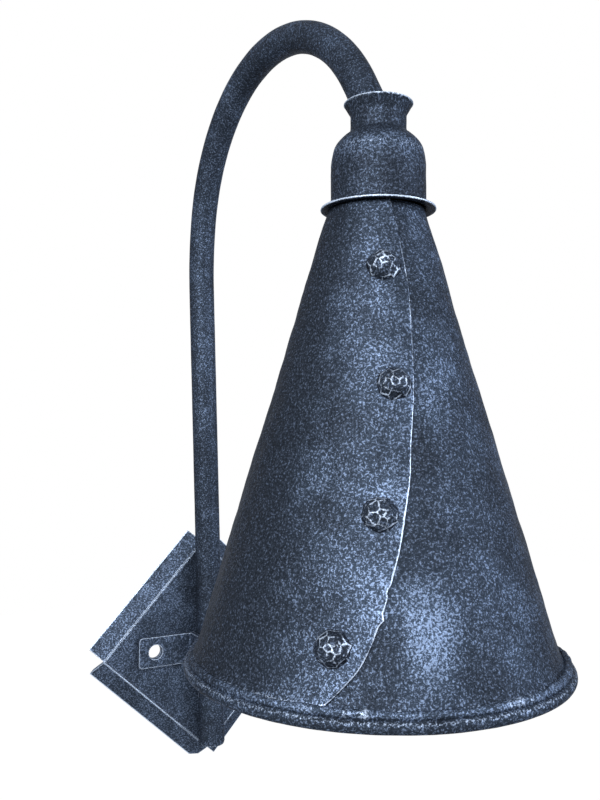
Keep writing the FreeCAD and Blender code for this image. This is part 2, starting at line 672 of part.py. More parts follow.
def holder_cap():
    """Threaded collar and dome over the terminals."""
    a = HOLDER_R - COLLAR_R
    outer = curve_through(ellipse_quarter(a, DOME_HIGH, COLLAR_R, SEAM), (1, 0), (0, -1))
    inner = curve_through(ellipse_quarter(a - HOLDER_WALL, DOME_HIGH - HOLDER_WALL, COLLAR_R, SEAM),
                          (1, 0), (0, -1))
    bore, neck = THREAD / 2 + TOUCH, NIPPLE_BORE / 2 + 0.5
    step = HOLDER_TOP - NIPPLE_IN - 0.5
    roof = DOME_TOP - HOLDER_WALL
    edges = [line((bore, HOLDER_TOP), (COLLAR_R, HOLDER_TOP)), line((COLLAR_R, HOLDER_TOP), (COLLAR_R, DOME_TOP)),
             outer.toShape(), line((HOLDER_R, SEAM), (HOLDER_R - HOLDER_WALL, SEAM)), inner.toShape(),
             line((COLLAR_R, roof), (neck, roof)), line((neck, roof), (neck, step)), line((neck, step), (bore, step)),
             line((bore, step), (bore, HOLDER_TOP))]
    return turned(Part.__sortEdges__(edges))


def holder_skirt():
    """Tube round the screw shell, with a ledge under the ceramic and a lip at the mouth."""
    inside = HOLDER_R - HOLDER_WALL
    return turned_points([(HOLDER_R, SEAM), (HOLDER_R, SKIRT_LOW), (SKIRT_LIP_R, SKIRT_LOW),
                          (SKIRT_LIP_R, SKIRT_LOW + LEDGE_HIGH), (inside, SKIRT_LOW + LEDGE_HIGH),
                          (inside, CERAMIC_LOW - LEDGE_HIGH), (LEDGE_R, CERAMIC_LOW - LEDGE_HIGH),
                          (LEDGE_R, CERAMIC_LOW), (inside, CERAMIC_LOW), (inside, SEAM)])


def polar(radius, deg):
    return radius * cos(deg), radius * sin(deg)


def holder_insulator():
    """Ceramic disc: stepped bore for the sprung contact, holes for shell rivets and screws."""
    disc = cylinder(HOLDER_R - HOLDER_WALL - TOUCH, CERAMIC_LOW, SEAM)
    holes = [cylinder(BORE_R, CERAMIC_LOW + CERAMIC_FLOOR, SEAM + 1),
             cylinder(NOSE_R + SLIP, CERAMIC_LOW - 1, SEAM)]
    for deg in SHELL_RIVET_DEGS:
        holes.append(cylinder(SHELL_RIVET_R + TOUCH, CERAMIC_LOW - 1, SEAM + 1, *polar(SHELL_RIVET_AT, deg)))
    for deg in (0, 180):
        holes.append(cylinder(TERMINAL_SHANK_R + TOUCH, SEAM - TERMINAL_SHANK, SEAM + 1, *polar(TERMINAL_R, deg)))
    return disc.cut(holes)


def centre_contact():
    shoulder_low = PLUNGER_TOP - PLUNGER_SHOULDER
    body = cylinder(PLUNGER_R, shoulder_low, PLUNGER_TOP)
    return body.fuse(cylinder(NOSE_R, NOSE_TIP, shoulder_low)).removeSplitter()


def contact_spring():
    """Compression spring between the plunger and the line terminal."""
    wire = SPRING_WIRE / 2
    radius = PLUNGER_R - wire - TOUCH
    height = SEAM - PLUNGER_TOP - 2 * wire - 2 * TOUCH
    rise = height / (2 * math.pi * SPRING_TURNS)
    slope = math.degrees(math.atan(rise / radius))
    sections = []
    for k in range(12 * SPRING_TURNS + 1):
        outline = [V(radius + wire * cos(45 * c), 0, wire * sin(45 * c)) for c in range(9)]
        section = Part.makePolygon(outline)
        section.rotate(V(0, 0, 0), V(1, 0, 0), slope)
        section.rotate(V(0, 0, 0), V(0, 0, 1), 30 * k)
        section.translate(V(0, 0, rise * math.radians(30 * k)))
        sections.append(section)
    coil = Part.makeLoft(sections, True, True)
    coil.translate(V(0, 0, PLUNGER_TOP + wire + TOUCH))
    return coil


def lug(inner_end, outer_end, deg, holes):
    """Flat terminal strip on the ceramic, with holes at the given distances from the axis."""
    strip = Part.makeBox(outer_end - inner_end, LUG_WIDE, LUG_THICK, V(inner_end, -LUG_WIDE / 2, SEAM))
    strip.rotate(V(0, 0, 0), V(0, 0, 1), deg)
    return strip.cut([cylinder(r + TOUCH, SEAM - 1, SEAM + 9, *polar(at, deg)) for at, r in holes])


def terminal_line():
    return lug(-BORE_R - 1, TERMINAL_R + LUG_WIDE / 2, 0, [(TERMINAL_R, TERMINAL_SHANK_R)])


def terminal_neutral():
    holes = [(TERMINAL_R, TERMINAL_SHANK_R), (SHELL_RIVET_AT, SHELL_RIVET_R)]
    return lug(SHELL_RIVET_AT - LUG_EDGE, TERMINAL_R + LUG_WIDE / 2, 180, holes)


def terminal_screws():
    """Slotted cheese-head screws, one on each lug."""
    low = SEAM + LUG_THICK
    screw = cylinder(TERMINAL_SCREW_R, low, low + TERMINAL_SCREW_HIGH)
    screw = screw.fuse(cylinder(TERMINAL_SHANK_R, SEAM - TERMINAL_SHANK + 0.5, low)).removeSplitter()
    slot = Part.makeBox(9, 0.8, 1, V(-4.5, -0.4, low + TERMINAL_SCREW_HIGH - 0.7))
    screw = screw.cut(slot)
    screws = []
    for deg in (0, 180):
        x, y = polar(TERMINAL_R, deg)
        moved = screw.copy()
        moved.translate(V(x, y, 0))
        screws.append(moved)
    return group(screws)


def shell_rivets():
    """Three rivets that hold the screw shell under the ceramic; one also holds the neutral lug."""
    rivets = []
    for deg in SHELL_RIVET_DEGS:
        top = SEAM + (LUG_THICK if deg == 180 else 0)
        low = CERAMIC_LOW - SHELL_SHEET
        x, y = polar(SHELL_RIVET_AT, deg)
        parts = [cylinder(SHELL_RIVET_HEAD_R, top, top + SHELL_RIVET_HEAD, x, y),
                 cylinder(SHELL_RIVET_HEAD_R, low - SHELL_RIVET_HEAD, low, x, y)]
        rivets.append(cylinder(SHELL_RIVET_R, low, top, x, y).multiFuse(parts).removeSplitter().Solids[0])
    return group(rivets)


def screw_shell():
    """Thin brass shell with its flange turned in under the ceramic."""
    outside = SHELL_R + SHELL_SHEET
    low = SKIRT_LOW + TOUCH
    shell = turned_points([(outside, CERAMIC_LOW), (outside, low), (SHELL_R, low),
                           (SHELL_R, CERAMIC_LOW - SHELL_SHEET), (SHELL_FLANGE_R, CERAMIC_LOW - SHELL_SHEET),
                           (SHELL_FLANGE_R, CERAMIC_LOW)])
    holes = [cylinder(SHELL_RIVET_R + TOUCH, CERAMIC_LOW - 2, CERAMIC_LOW + 1, *polar(SHELL_RIVET_AT, deg))
             for deg in SHELL_RIVET_DEGS]
    return shell.cut(holes)


# ------------------------------------------------------------------ lamp
def bulb_cap():
    """Screw cap: can with its end turned in round the insulator."""
    inside = CAP_R - CAP_SHEET
    return turned_points([(CAP_R, CAP_LOW), (CAP_R, CAP_TOP), (CAP_TOP_R, CAP_TOP), (CAP_TOP_R, CAP_TOP - CAP_SHEET),
                          (inside, CAP_TOP - CAP_SHEET), (inside, CAP_LOW)])


def bulb_insulator():
    low = CAP_TOP - CAP_SHEET - TOUCH
    body = turned_points([(0, low - CAP_SHEET * 4), (CAP_R - CAP_SHEET - TOUCH, low - CAP_SHEET * 4),
                          (CAP_R - CAP_SHEET - TOUCH, low), (CAP_TOP_R - TOUCH, low), (CAP_TOP_R - TOUCH, CAP_TOP),
                          (EYELET_R, INSULATOR_TOP), (0, INSULATOR_TOP)])
    return body.cut(cylinder(EYELET_PIN_R + TOUCH, INSULATOR_TOP - EYELET_PIN, INSULATOR_TOP + 1))


def bulb_contact():
    """Eyelet under the sprung contact, with a short pin into the insulator."""
    disc = cylinder(EYELET_R, INSULATOR_TOP, BULB_TOP)
    pin = cylinder(EYELET_PIN_R, INSULATOR_TOP - EYELET_PIN + TOUCH, INSULATOR_TOP)
    return disc.fuse(pin).removeSplitter()


def bulb_glass():
    """Blown glass: neck inside the cap, pear and round end."""
    centre = BULB_LOW + BULB_R
    high = CAP_LOW + NECK_IN_CAP
    span = high - centre
    shares = ((0.0, 0.0), (0.12, 0.008), (0.34, 0.18), (0.56, 0.51), (0.79, 0.86), (1.0, 1.0))
    points = [(NECK_GLASS_R + (BULB_R - NECK_GLASS_R) * b, high - span * a) for a, b in shares]
    outer = curve_through(points, (0, -span / 3), (0, -span / 3))
    inner = curve_through(twin(outer, BULB_GLASS), (0, -span / 3), (0, -span / 3))
    low_in = BULB_R - BULB_GLASS
    edges = [outer.toShape(), arc((BULB_R, centre), (BULB_R * cos(45), centre - BULB_R * sin(45)), (0, BULB_LOW)),
             line((0, BULB_LOW), (0, BULB_LOW + BULB_GLASS)),
             arc((0, BULB_LOW + BULB_GLASS), (low_in * cos(45), centre - low_in * sin(45)), (low_in, centre)),
             inner.toShape(), line((NECK_GLASS_R - BULB_GLASS, high), (NECK_GLASS_R, high))]
    return turned(Part.__sortEdges__(edges))


def stem_foot():
    return CAP_LOW + NECK_IN_CAP - 1.0 - STEM_LONG


def bulb_stem():
    """Glass mount: a disc across the neck and the press that holds the leads."""
    top = CAP_LOW + NECK_IN_CAP - 1.0
    disc = cylinder(NECK_GLASS_R - BULB_GLASS - TOUCH, top - 1.0, top)
    return disc.fuse(cylinder(STEM_R, stem_foot(), top - 1.0)).removeSplitter()


def bulb_filament():
    """Two leads from the stem and the bowed filament between their ends."""
    foot = stem_foot()
    leads, ends = [], []
    for side in (-1, 1):
        start = V(side * 2.0, 0, foot)
        end = V(side * FILAMENT_SPREAD, 0, foot - FILAMENT_LEAD_LONG)
        leads.append(Part.makeCylinder(FILAMENT_LEAD_R, (end - start).Length, start, end - start))
        leads.append(Part.makeSphere(FILAMENT_LEAD_R, end))
        ends.append(end)
    leads = [lead.common(cylinder(BULB_R, foot - BULB_R, foot)) for lead in leads]
    low = V(0, 0, ends[0].z - FILAMENT_SPREAD / 3)
    bow = Part.Wire(Part.Arc(ends[0], low, ends[1]).toShape())
    way = bow.Edges[0].tangentAt(bow.Edges[0].FirstParameter)
    coil = bow.makePipeShell([Part.Wire(Part.makeCircle(FILAMENT_LEAD_R * 0.8, ends[0], way))], True, False)
    return coil.multiFuse(leads).removeSplitter()


# ------------------------------------------------------------------ write the nodes
os.makedirs("parts", exist_ok=True)
for make in (wall_plate, fixing_strap, arm_tube, cable_grommet, earth_stud, earth_washer, earth_nut, tube_bush):
    save(make.__name__, make())
for make in (cup_bridge, shade_cup, entry_nipple, nipple_locknut, lap_rivets, rim_ring, holder_cap, holder_skirt,
             holder_insulator, centre_contact, contact_spring, terminal_line, terminal_neutral, terminal_screws,
             shell_rivets, screw_shell, bulb_cap, bulb_insulator, bulb_contact, bulb_glass, bulb_stem,
             bulb_filament):
    save(make.__name__, hang(make()))
save("shade_cone", hang(riveted_cone()))
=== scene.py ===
import json
import math

import bmesh
import bpy
import numpy as np
from mathutils import Matrix, Vector


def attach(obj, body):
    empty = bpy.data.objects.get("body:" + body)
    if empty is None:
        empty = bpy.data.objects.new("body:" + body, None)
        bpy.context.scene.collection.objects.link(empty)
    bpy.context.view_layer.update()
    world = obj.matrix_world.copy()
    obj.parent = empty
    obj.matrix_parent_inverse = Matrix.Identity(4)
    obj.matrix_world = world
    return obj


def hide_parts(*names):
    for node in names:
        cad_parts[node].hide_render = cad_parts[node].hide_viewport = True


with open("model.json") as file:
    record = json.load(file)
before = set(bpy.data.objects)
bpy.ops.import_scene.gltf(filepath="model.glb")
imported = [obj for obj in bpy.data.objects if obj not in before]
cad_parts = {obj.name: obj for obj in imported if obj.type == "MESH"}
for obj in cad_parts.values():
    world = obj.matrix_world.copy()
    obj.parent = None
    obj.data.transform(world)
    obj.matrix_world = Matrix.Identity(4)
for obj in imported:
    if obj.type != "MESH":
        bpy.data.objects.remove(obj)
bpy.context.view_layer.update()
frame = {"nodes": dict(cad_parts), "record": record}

bl_info = {
    "name": "Forged Gooseneck Sconce",
    "version": (1, 0, 0),
    "blender": (4, 5, 0),
    "location": "View3D > Sidebar > Sconce",
    "description": "Dresses the packed frame of a wrought-iron wall sconce with a riveted cone shade",
    "category": "Object",
}

MM = 0.001
ROOT = "fixture"

# ---------------------------------------------------------------- where the frame puts things
LEAN = math.radians(2.0)            # the shade hangs out of upright by this
ARM_END = np.array([-0.689055, -207.498797, 268.169668])   # end of the arm, millimetres
ARM_Y = -10.1
SHADE_TOP = -28.4                   # heights from here on are along the shade's axis
SLOPE_DEG = math.degrees(math.atan(0.297))
SLANT = 188.0 / math.cos(math.radians(SLOPE_DEG))
FLARE_R = 9.0
FLARE_DEG = 32.0
MERIDIAN = SLANT + FLARE_R * math.radians(FLARE_DEG)
SHEET = 1.5
PITCH = 1.8                         # one layer plus the gap in the lap
LAP = 22.0
LAP_EDGE = np.array([
    (0.0, -22.6), (0.08, -16.9), (0.155, -14.3), (0.235, -14.1), (0.31, -15.4), (0.385, -17.0),
    (0.44, -18.4), (0.53, -21.3), (0.59, -22.9), (0.65, -25.2), (0.735, -28.7), (0.79, -31.5),
    (0.845, -34.5), (0.89, -37.3), (0.93, -40.4), (0.963, -44.6), (1.0, -50.0)])
RIVETS = ((0.152, 9.0), (0.405, 8.0), (0.658, 9.5), (0.898, 13.0))   # share of the meridian, inset
RIM_R = 80.9
RIM_Z = -224.9
RIM_BAR = 2.6


# ---------------------------------------------------------------- grids and meshes
def smooth(xs, ys, x):
    """Cubic through the points (xs, ys): each span is a Hermite cubic whose end slopes are the
    mean slopes of its neighbours."""
    xs, ys, x = np.asarray(xs, float), np.asarray(ys, float), np.asarray(x, float)
    slope = np.gradient(ys, xs)
    i = np.clip(np.searchsorted(xs, x) - 1, 0, len(xs) - 2)
    h = xs[i + 1] - xs[i]
    t = (x - xs[i]) / h
    return ((2 * t ** 3 - 3 * t ** 2 + 1) * ys[i] + (t ** 3 - 2 * t ** 2 + t) * h * slope[i]
            + (3 * t ** 2 - 2 * t ** 3) * ys[i + 1] + (t ** 3 - t ** 2) * h * slope[i + 1])


def ease(x):
    """0 below 0, 1 above 1, and 3x^2 - 2x^3 between."""
    x = np.clip(x, 0.0, 1.0)
    return x * x * (3 - 2 * x)


def waves(points, size, seed, count=28):
    """A smooth random field from -1 to 1: the mean of plane waves whose lengths lie round
    `size` millimetres and whose directions and phases come from the seed."""
    rng = np.random.default_rng(seed)
    way = rng.normal(size=(count, 3))
    way /= np.linalg.norm(way, axis=1, keepdims=True)
    way *= (2 * np.pi / (size * rng.uniform(0.6, 1.6, count)))[:, None]
    phase = rng.uniform(0, 2 * np.pi, count)
    return np.sin(points @ way.T + phase).sum(-1) / math.sqrt(count) / 1.5


def hang(points):
    """Shade frame to row frame: a turn of LEAN about +Y, then a move to the end of the arm."""
    c, s = math.cos(LEAN), math.sin(LEAN)
    x, y, z = points[..., 0], points[..., 1], points[..., 2]
    return np.stack([x * c + z * s, y, -x * s + z * c], -1) + ARM_END


def grid_faces(rows, cols, wrap_rows=False, wrap_cols=False, start=0):
    """Quads of a grid of points, row by row; a wrapped side joins the last line to the first."""
    r = np.arange(rows if wrap_rows else rows - 1)
    c = np.arange(cols if wrap_cols else cols - 1)
    r, c = np.meshgrid(r, c, indexing="ij")
    r2, c2 = (r + 1) % rows, (c + 1) % cols
    quads = np.stack([r * cols + c, r * cols + c2, r2 * cols + c2, r2 * cols + c], -1)
    return quads.reshape(-1, 4) + start


def make_mesh(name, points, quads, tris=None, wear_and_sheen=None, rub=None):
    """A mesh object in metres from points in millimetres, quads and optional triangles. The
    attributes for bare worn edges and for silver from rubbing, which on some pieces also carry painted
    highlights and painted shade, are 0 where they aren't given."""
    points = np.asarray(points, np.float32).reshape(-1, 3) * MM
    quads = np.asarray(quads, np.int32).reshape(-1, 4)
    tris = np.zeros((0, 3), np.int32) if tris is None else np.asarray(tris, np.int32).reshape(-1, 3)
    corners = points[np.concatenate([quads[:, :3], quads[:, [0, 2, 3]], tris])].astype(float)
    if (corners[:, 0] * np.cross(corners[:, 1], corners[:, 2])).sum() < 0:      # faces point outwards
        quads, tris = quads[:, ::-1], tris[:, ::-1]
    mesh = bpy.data.meshes.new(name)
    mesh.vertices.add(len(points))
    mesh.vertices.foreach_set("co", points.ravel())
    mesh.loops.add(quads.size + tris.size)
    mesh.loops.foreach_set("vertex_index", np.concatenate([quads.ravel(), tris.ravel()]))
    mesh.polygons.add(len(quads) + len(tris))
    starts = np.concatenate([np.arange(len(quads)) * 4, quads.size + np.arange(len(tris)) * 3])
    mesh.polygons.foreach_set("loop_start", starts.astype(np.int32))
    mesh.polygons.foreach_set("use_smooth", np.ones(len(starts), bool))
    mesh.update(calc_edges=True)
    mesh.validate()
    for key, values in (("wear_and_sheen", wear_and_sheen), ("rub", rub)):
        values = np.zeros(len(points)) if values is None else values
        layer = mesh.attributes.new(key, "FLOAT", "POINT")
        layer.data.foreach_set("value", np.asarray(values, np.float32).ravel())
    obj = bpy.data.objects.new(name, mesh)
    bpy.context.collection.objects.link(obj)
    return obj


def closed_tube(name, rings, wear_and_sheen=None, rub=None):
    """Rings of points in order along a path, closed round each ring, with a fan on both ends."""
    rows, cols = rings.shape[:2]
    points = rings.reshape(-1, 3)
    quads = grid_faces(rows, cols, wrap_cols=True)
    ends = np.stack([rings[0].mean(0), rings[-1].mean(0)])
    k = np.arange(cols)
    k2 = (k + 1) % cols
    n = rows * cols
    fan_a = np.stack([np.full(cols, n), k2, k], -1)
    fan_b = np.stack([np.full(cols, n + 1), (rows - 1) * cols + k, (rows - 1) * cols + k2], -1)
    tris = np.concatenate([fan_a, fan_b])
    points = np.concatenate([points, ends])
    wear_and_sheen, rub = [None if v is None else np.concatenate([v.ravel(), v[0].mean(keepdims=True), [0.0]])
                 for v in (wear_and_sheen, rub)]
    return make_mesh(name, points, quads, tris, wear_and_sheen, rub)


def ring_mesh(name, rings, wear_and_sheen=None, rub=None):
    """A grid closed both ways, such as a ring bar or a spun wall turned about the axis."""
    rows, cols = rings.shape[:2]
    quads = grid_faces(rows, cols, wrap_rows=True, wrap_cols=True)
    return make_mesh(name, rings, quads, wear_and_sheen=wear_and_sheen, rub=rub)


def finish_piece(obj, material, nodes=(), body=ROOT):
    obj.data.materials.clear()
    obj.data.materials.append(material)
    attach(obj, body)
    if nodes:
        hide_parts(*nodes)
    return obj


# ---------------------------------------------------------------- shader maths
class Socket:
    """Wraps an output socket, so that an expression on values adds its Math nodes."""

    def __init__(self, tree, socket):
        self.tree, self.socket = tree, socket

    def _math(self, operation, *values):
        return self.tree.node("ShaderNodeMath", {"operation": operation}, dict(enumerate(values)))

    def __add__(self, other):
        return self._math("ADD", self, other)

    def __sub__(self, other):
        return self._math("SUBTRACT", self, other)

    def __rsub__(self, other):
        return self._math("SUBTRACT", other, self)

    def __mul__(self, other):
        return self._math("MULTIPLY", self, other)

    def over(self, low, high):
        """0 at low, 1 at high, eased between and held outside."""
        return self.tree.node("ShaderNodeMapRange", {"interpolation_type": "SMOOTHSTEP"},
                              {0: self, 1: low, 2: high})

    def most(self, other):
        return self._math("MAXIMUM", self, other)

    def least(self, other):
        return self._math("MINIMUM", self, other)

    __radd__ = __add__
    __rmul__ = __mul__


class Finish:
    """One material, its Principled shader and the nodes that feed it."""

    def __init__(self, name):
        self.material = bpy.data.materials.new(name)
        self.material.use_nodes = True
        self.tree = self.material.node_tree
        self.tree.nodes.clear()
        self.shader = self.tree.nodes.new("ShaderNodeBsdfPrincipled")
        out = self.tree.nodes.new("ShaderNodeOutputMaterial")
        self.tree.links.new(self.shader.outputs[0], out.inputs[0])
        self.place = self.node("ShaderNodeTexCoord", output="Object")

    def node(self, kind, settings=None, inputs=None, output=0):
        made = self.tree.nodes.new(kind)
        for key, value in (settings or {}).items():
            setattr(made, key, value)
        for key, value in (inputs or {}).items():
            self.feed(made.inputs[key], value)
        return Socket(self, made.outputs[output])

    def feed(self, socket, value):
        if isinstance(value, Socket):
            self.tree.links.new(value.socket, socket)
        elif socket.type == "RGBA" and len(value) == 3:
            socket.default_value = (*value, 1.0)
        else:
            socket.default_value = value

    def noise(self, size_mm, detail=2.0, roughness=0.5, shift=0.0):
        """Fractal noise with features of about size_mm on Object coordinates."""
        where = self.node("ShaderNodeMapping", {},
                          {"Vector": self.place, "Location": (shift, shift * 0.7, -shift)})
        return self.node("ShaderNodeTexNoise", {}, {"Vector": where, "Scale": 1000.0 / size_mm,
                                                    "Detail": detail, "Roughness": roughness})

    def attribute(self, name):
        return self.node("ShaderNodeAttribute", {"attribute_name": name}, output="Fac")

    def mix(self, factor, a, b):
        """Colour a where factor is 0, b where it is 1."""
        return self.node("ShaderNodeMix", {"data_type": "RGBA"}, {0: factor, 6: a, 7: b}, output=2)

    def bump(self, height, distance_mm, normal=None):
        inputs = {"Height": height, "Distance": distance_mm * MM, "Strength": 1.0}
        if normal is not None:
            inputs["Normal"] = normal
        return self.node("ShaderNodeBump", {}, inputs)

    def set(self, **values):
        for key, value in values.items():
            self.feed(self.shader.inputs[key.replace("_", " ")], value)
        return self.material


def iron_finish(name, speckle=1.0, shift=0.0, edges_mm=0.0, rubbed_over=0.0):
    """Blue-black iron, sand-rough, with silver on the high grains. One mesh attribute sets how much silver
    lies over a field, from rubbing and, on some pieces, as painted highlight and painted shade; another lays
    bare metal along an edge, and on some pieces paints highlight lines with it; edges_mm finds the edges of a
    folded piece from how far the surface turns within that distance."""
    p = bpy.context.scene.sconce_finish
    f = Finish(name)
    grain = f.noise(0.95, 1.0, 0.5, shift)
    fine = f.noise(0.50, 1.0, 0.5, shift + 1)
    lumps = f.noise(3.4, 1.0, 0.5, shift + 4)
    cloud = f.noise(14.0, 3.0, 0.62, shift + 3)
    wear_and_sheen = f.attribute("wear_and_sheen")
    rub = f.attribute("rub")
    grip = grain * 0.55 + fine * 0.45
    # the mesh's rub field holds painted highlight and painted shade on the shade sheet, arm, cup and bead, so
    # this mask paints light as well as rubbed silver
    rubbed_and_light = (0.34 * cloud + 0.10 * lumps + rub * 0.24 + 0.3 * rubbed_over).over(0.10, 0.62)
    if edges_mm:
        turned_way = f.node("ShaderNodeBevel", {"samples": 8}, {"Radius": edges_mm * MM})
        plain_way = f.node("ShaderNodeNewGeometry", output="Normal")
        same = f.node("ShaderNodeVectorMath", {"operation": "DOT_PRODUCT"}, {0: turned_way, 1: plain_way},
                      "Value")
        wear_and_sheen = wear_and_sheen.most((1.0 - same).over(0.002, 0.05) * (0.35 + cloud))
    silver = (grip + 0.12 * rubbed_and_light + wear_and_sheen * 0.12).over(0.53, 0.70)
    # flecks and haze follow that mask, so they also lay the painted highlights and painted shade
    flecks = (silver * (0.30 + 0.55 * rubbed_and_light) * speckle).least(1.0)
    haze = ((0.06 + 0.46 * rubbed_and_light) * speckle).least(1.0)
    # the bare-edge mask also carries painted highlight lines on the rim bar, the bead's upper side and the
    # cup's shoulder
    edge = (wear_and_sheen + (grip - 0.5) * 1.1).over(0.30, 0.80)
    dark = f.mix(grip.over(0.38, 0.58), p.iron_dark[:3], p.iron_blue[:3])
    dusted = f.mix(haze, dark, p.silver_haze_and_sheen[:3])
    flecked = f.mix(flecks, dusted, p.silver[:3])
    colour = f.mix(edge, flecked, p.edge_silver_and_sheen[:3])
    normal = f.bump(lumps, 0.45)
    normal = f.bump(grip, 0.42, normal)
    return f.set(Base_Color=colour, Roughness=0.50 - 0.10 * flecks - 0.06 * edge,
                 Metallic=0.50 + 0.25 * flecks, Normal=normal, Specular_IOR_Level=0.05,
                 Specular_Tint=(0.10, 0.13, 0.18))


def plain_finish(name, colour, roughness, metallic, grain_mm=1.5, tint=0.15, height=0.05):
    """A turned or moulded surface: a soft change of tone and a fine grain in the roughness."""
    f = Finish(name)
    grain = f.noise(grain_mm, 3.0, 0.5)
    tone = f.noise(grain_mm * 9, 2.0, 0.5, 5.0)
    darker = tuple(c * (1 - tint) for c in colour)
    base = f.mix(tone.over(0.35, 0.65), darker, colour)
    return f.set(Base_Color=base, Roughness=roughness + 0.14 * (grain - 0.5), Metallic=metallic,
                 Normal=f.bump(grain, height))


def glass_finish():
    f = Finish("bulb_clear_glass")
    return f.set(Base_Color=(0.96, 0.98, 0.98), Roughness=0.02, Transmission_Weight=0.92, IOR=1.46,
                 Alpha=0.35)


# ---------------------------------------------------------------- the rolled shade
def meridian(share):
    """Outer face of the outer layer: a straight cone, then an arc of FLARE_R that turns outwards.
    Gives (r, z), the way down and the outward normal, each in the (r, z) plane."""
    run = share * MERIDIAN
    straight = np.minimum(run, SLANT)
    a0 = math.radians(SLOPE_DEG)
    a = a0 + np.maximum(run - SLANT, 0.0) / FLARE_R
    r = 22.0 + straight * math.sin(a0) + FLARE_R * (math.cos(a0) - np.cos(a))
    z = SHADE_TOP - straight * math.cos(a0) - FLARE_R * (np.sin(a) - math.sin(a0))
    way = np.stack([np.sin(a), -np.cos(a)], -1)
    normal = np.stack([np.cos(a), np.sin(a)], -1)
    return np.stack([r, z], -1), way, normal


def on_sheet(share, turn, depth, theta_edge):
    """Point of the sheet: turn degrees back from the lap edge, depth under the outer face. The
    sheet steps in by one layer, eased, between 75 and 330 degrees from its edge."""
    place, way, normal = meridian(share)
    inward = depth + PITCH * ease((turn - 75.0) / 255.0)
    square = np.maximum(0.0, 1 - share * MERIDIAN / SLANT) * 0.297
    r = place[..., 0] - inward * (normal[..., 0] + square * way[..., 0])
    z = place[..., 1] - inward * (normal[..., 1] + square * way[..., 1])
    theta = np.radians(theta_edge - turn)
    return np.stack([r * np.sin(theta), -r * np.cos(theta), z], -1)


def sheet_rub_and_light(share, deg, run, points):
    """Silver over the outside of the sheet, mostly painted light: a painted highlight band left of the lap
    edge, stronger lower down; a painted highlight patch right of it near the skirt and a faint one at 30
    degrees;
    random soft patches down the front; and painted shade that takes the silver away on the far left."""
    deg = (deg + 180.0) % 360.0 - 180.0
    # painted highlights: the lit band beside the lap edge, the patch near the skirt and the faint one at 30
    # degrees
    beside = np.exp(-run / 20.0) * (0.35 + 0.45 * ease((share - 0.25) / 0.5))
    patch = 1.5 * np.exp(-((deg + 20.0) / 8.0) ** 2 - ((share - 0.88) / 0.09) ** 2)
    right = 0.15 * np.exp(-((deg - 30.0) / 16.0) ** 2)
    # random soft patches of silver, the sheet's own
    soft = 0.24 * waves(points, 45.0, 14) + 0.14 * waves(points, 18.0, 15)
    # painted shade: less silver on the far left
    left = ease((-deg - 62.0) / 30.0)
    return beside + patch + right + soft - 1.1 * left


def shade_sheet(p):
    """Rolled sheet as a closed loop of rows (down the outside, round the foot, up the inside,
    over the top) carried round by the turn, with a strip over each end."""
    rows = 150
    share = np.linspace(0, 1, rows)
    edge_run = np.array([0.0, 0.12, 0.3, 0.55, 0.9, 1.4, 2.0, 3.0, 4.5])     # mm from the lap edge
    whole_cols = 300
    along = np.stack([share * MERIDIAN, 0 * share, 0 * share], -1)
    rough_edge = (0.55 * waves(along, 14.0, 11) + 0.3 * waves(along, 4.0, 12)) * p.edge_wander
    burr = 1.3 * np.exp(-((share - 0.845) / 0.006) ** 2) - 0.9 * np.exp(-((share - 0.795) / 0.008) ** 2)
    place, _, normal = meridian(share)
    r = place[:, 0]
    theta_edge = smooth(LAP_EDGE[:, 0], LAP_EDGE[:, 1], share) + np.degrees((rough_edge + burr) / r)
    whole = 360 + np.degrees(LAP / r)
    near = np.degrees(edge_run[None, :] / r[:, None])
    far = near[:, -1:] + (whole[:, None] - near[:, -1:]) * np.linspace(0, 1, whole_cols)[None, 1:]
    turn = np.concatenate([near, far], 1)
    share2 = np.broadcast_to(share[:, None], turn.shape)
    edge2 = np.broadcast_to(theta_edge[:, None], turn.shape)
    run = np.radians(turn) * r[:, None]
    roll = 0.55 * np.sqrt(np.clip(1 - run / 0.9, 0, 1)) ** 1.5         # rounded lap edge
    outer = on_sheet(share2, turn, roll, edge2)
    inner = on_sheet(share2, turn, SHEET, edge2)
    # hammering moves both faces together, square to the sheet, and fades at the top
    fade = ease(share2 / 0.05) * (0.35 + 0.65 * ease((1 - share2) / 0.04))
    theta = np.radians(edge2 - turn)
    out = np.stack([np.sin(theta), -np.cos(theta), np.full_like(theta, 0.28)], -1)
    # the field is read at the same depth all round, so that both layers of the lap get the same one
    radial = on_sheet(share2, 0 * turn + 40.0, 0, edge2 - turn + 40.0)
    dent = 0.55 * waves(radial, 38.0, 21) + 0.3 * waves(radial, 15.0, 22) + 0.12 * waves(radial, 6.0, 23)
    push = (dent * p.hammering * fade)[..., None] * out
    outer, inner = outer + push, inner + push
    loop = np.concatenate([outer, inner[::-1]], 0)
    n = loop.shape[0]
    cols = loop.shape[1]
    quads = grid_faces(n, cols, wrap_rows=True)
    k = np.arange(rows - 1)
    a, b = k * cols, (k + 1) * cols
    c, d = (n - 2 - k) * cols, (n - 1 - k) * cols
    start = np.stack([a, b, c, d], -1)
    end = start[:, ::-1] + cols - 1
    quads = np.concatenate([quads, start, end])
    line = (0.55 + 0.55 * ease((share2 - 0.3) / 0.4)) * (0.9 + 0.35 * waves(outer, 9.0, 13))
    wear_outer = line * np.exp(-(run / 0.62) ** 2) + 0.7 * ease((share2 - 0.985) / 0.015)
    wear_and_sheen = np.concatenate([wear_outer, 0 * wear_outer], 0)
    # the outside takes the painted highlights and painted shade; the inside takes a flat -0.3
    rub = sheet_rub_and_light(share2, np.degrees(theta), run, outer)
    rub = np.concatenate([rub, 0 * rub - 0.3], 0)
    return make_mesh("shade_sheet", hang(loop), quads, wear_and_sheen=wear_and_sheen, rub=rub)


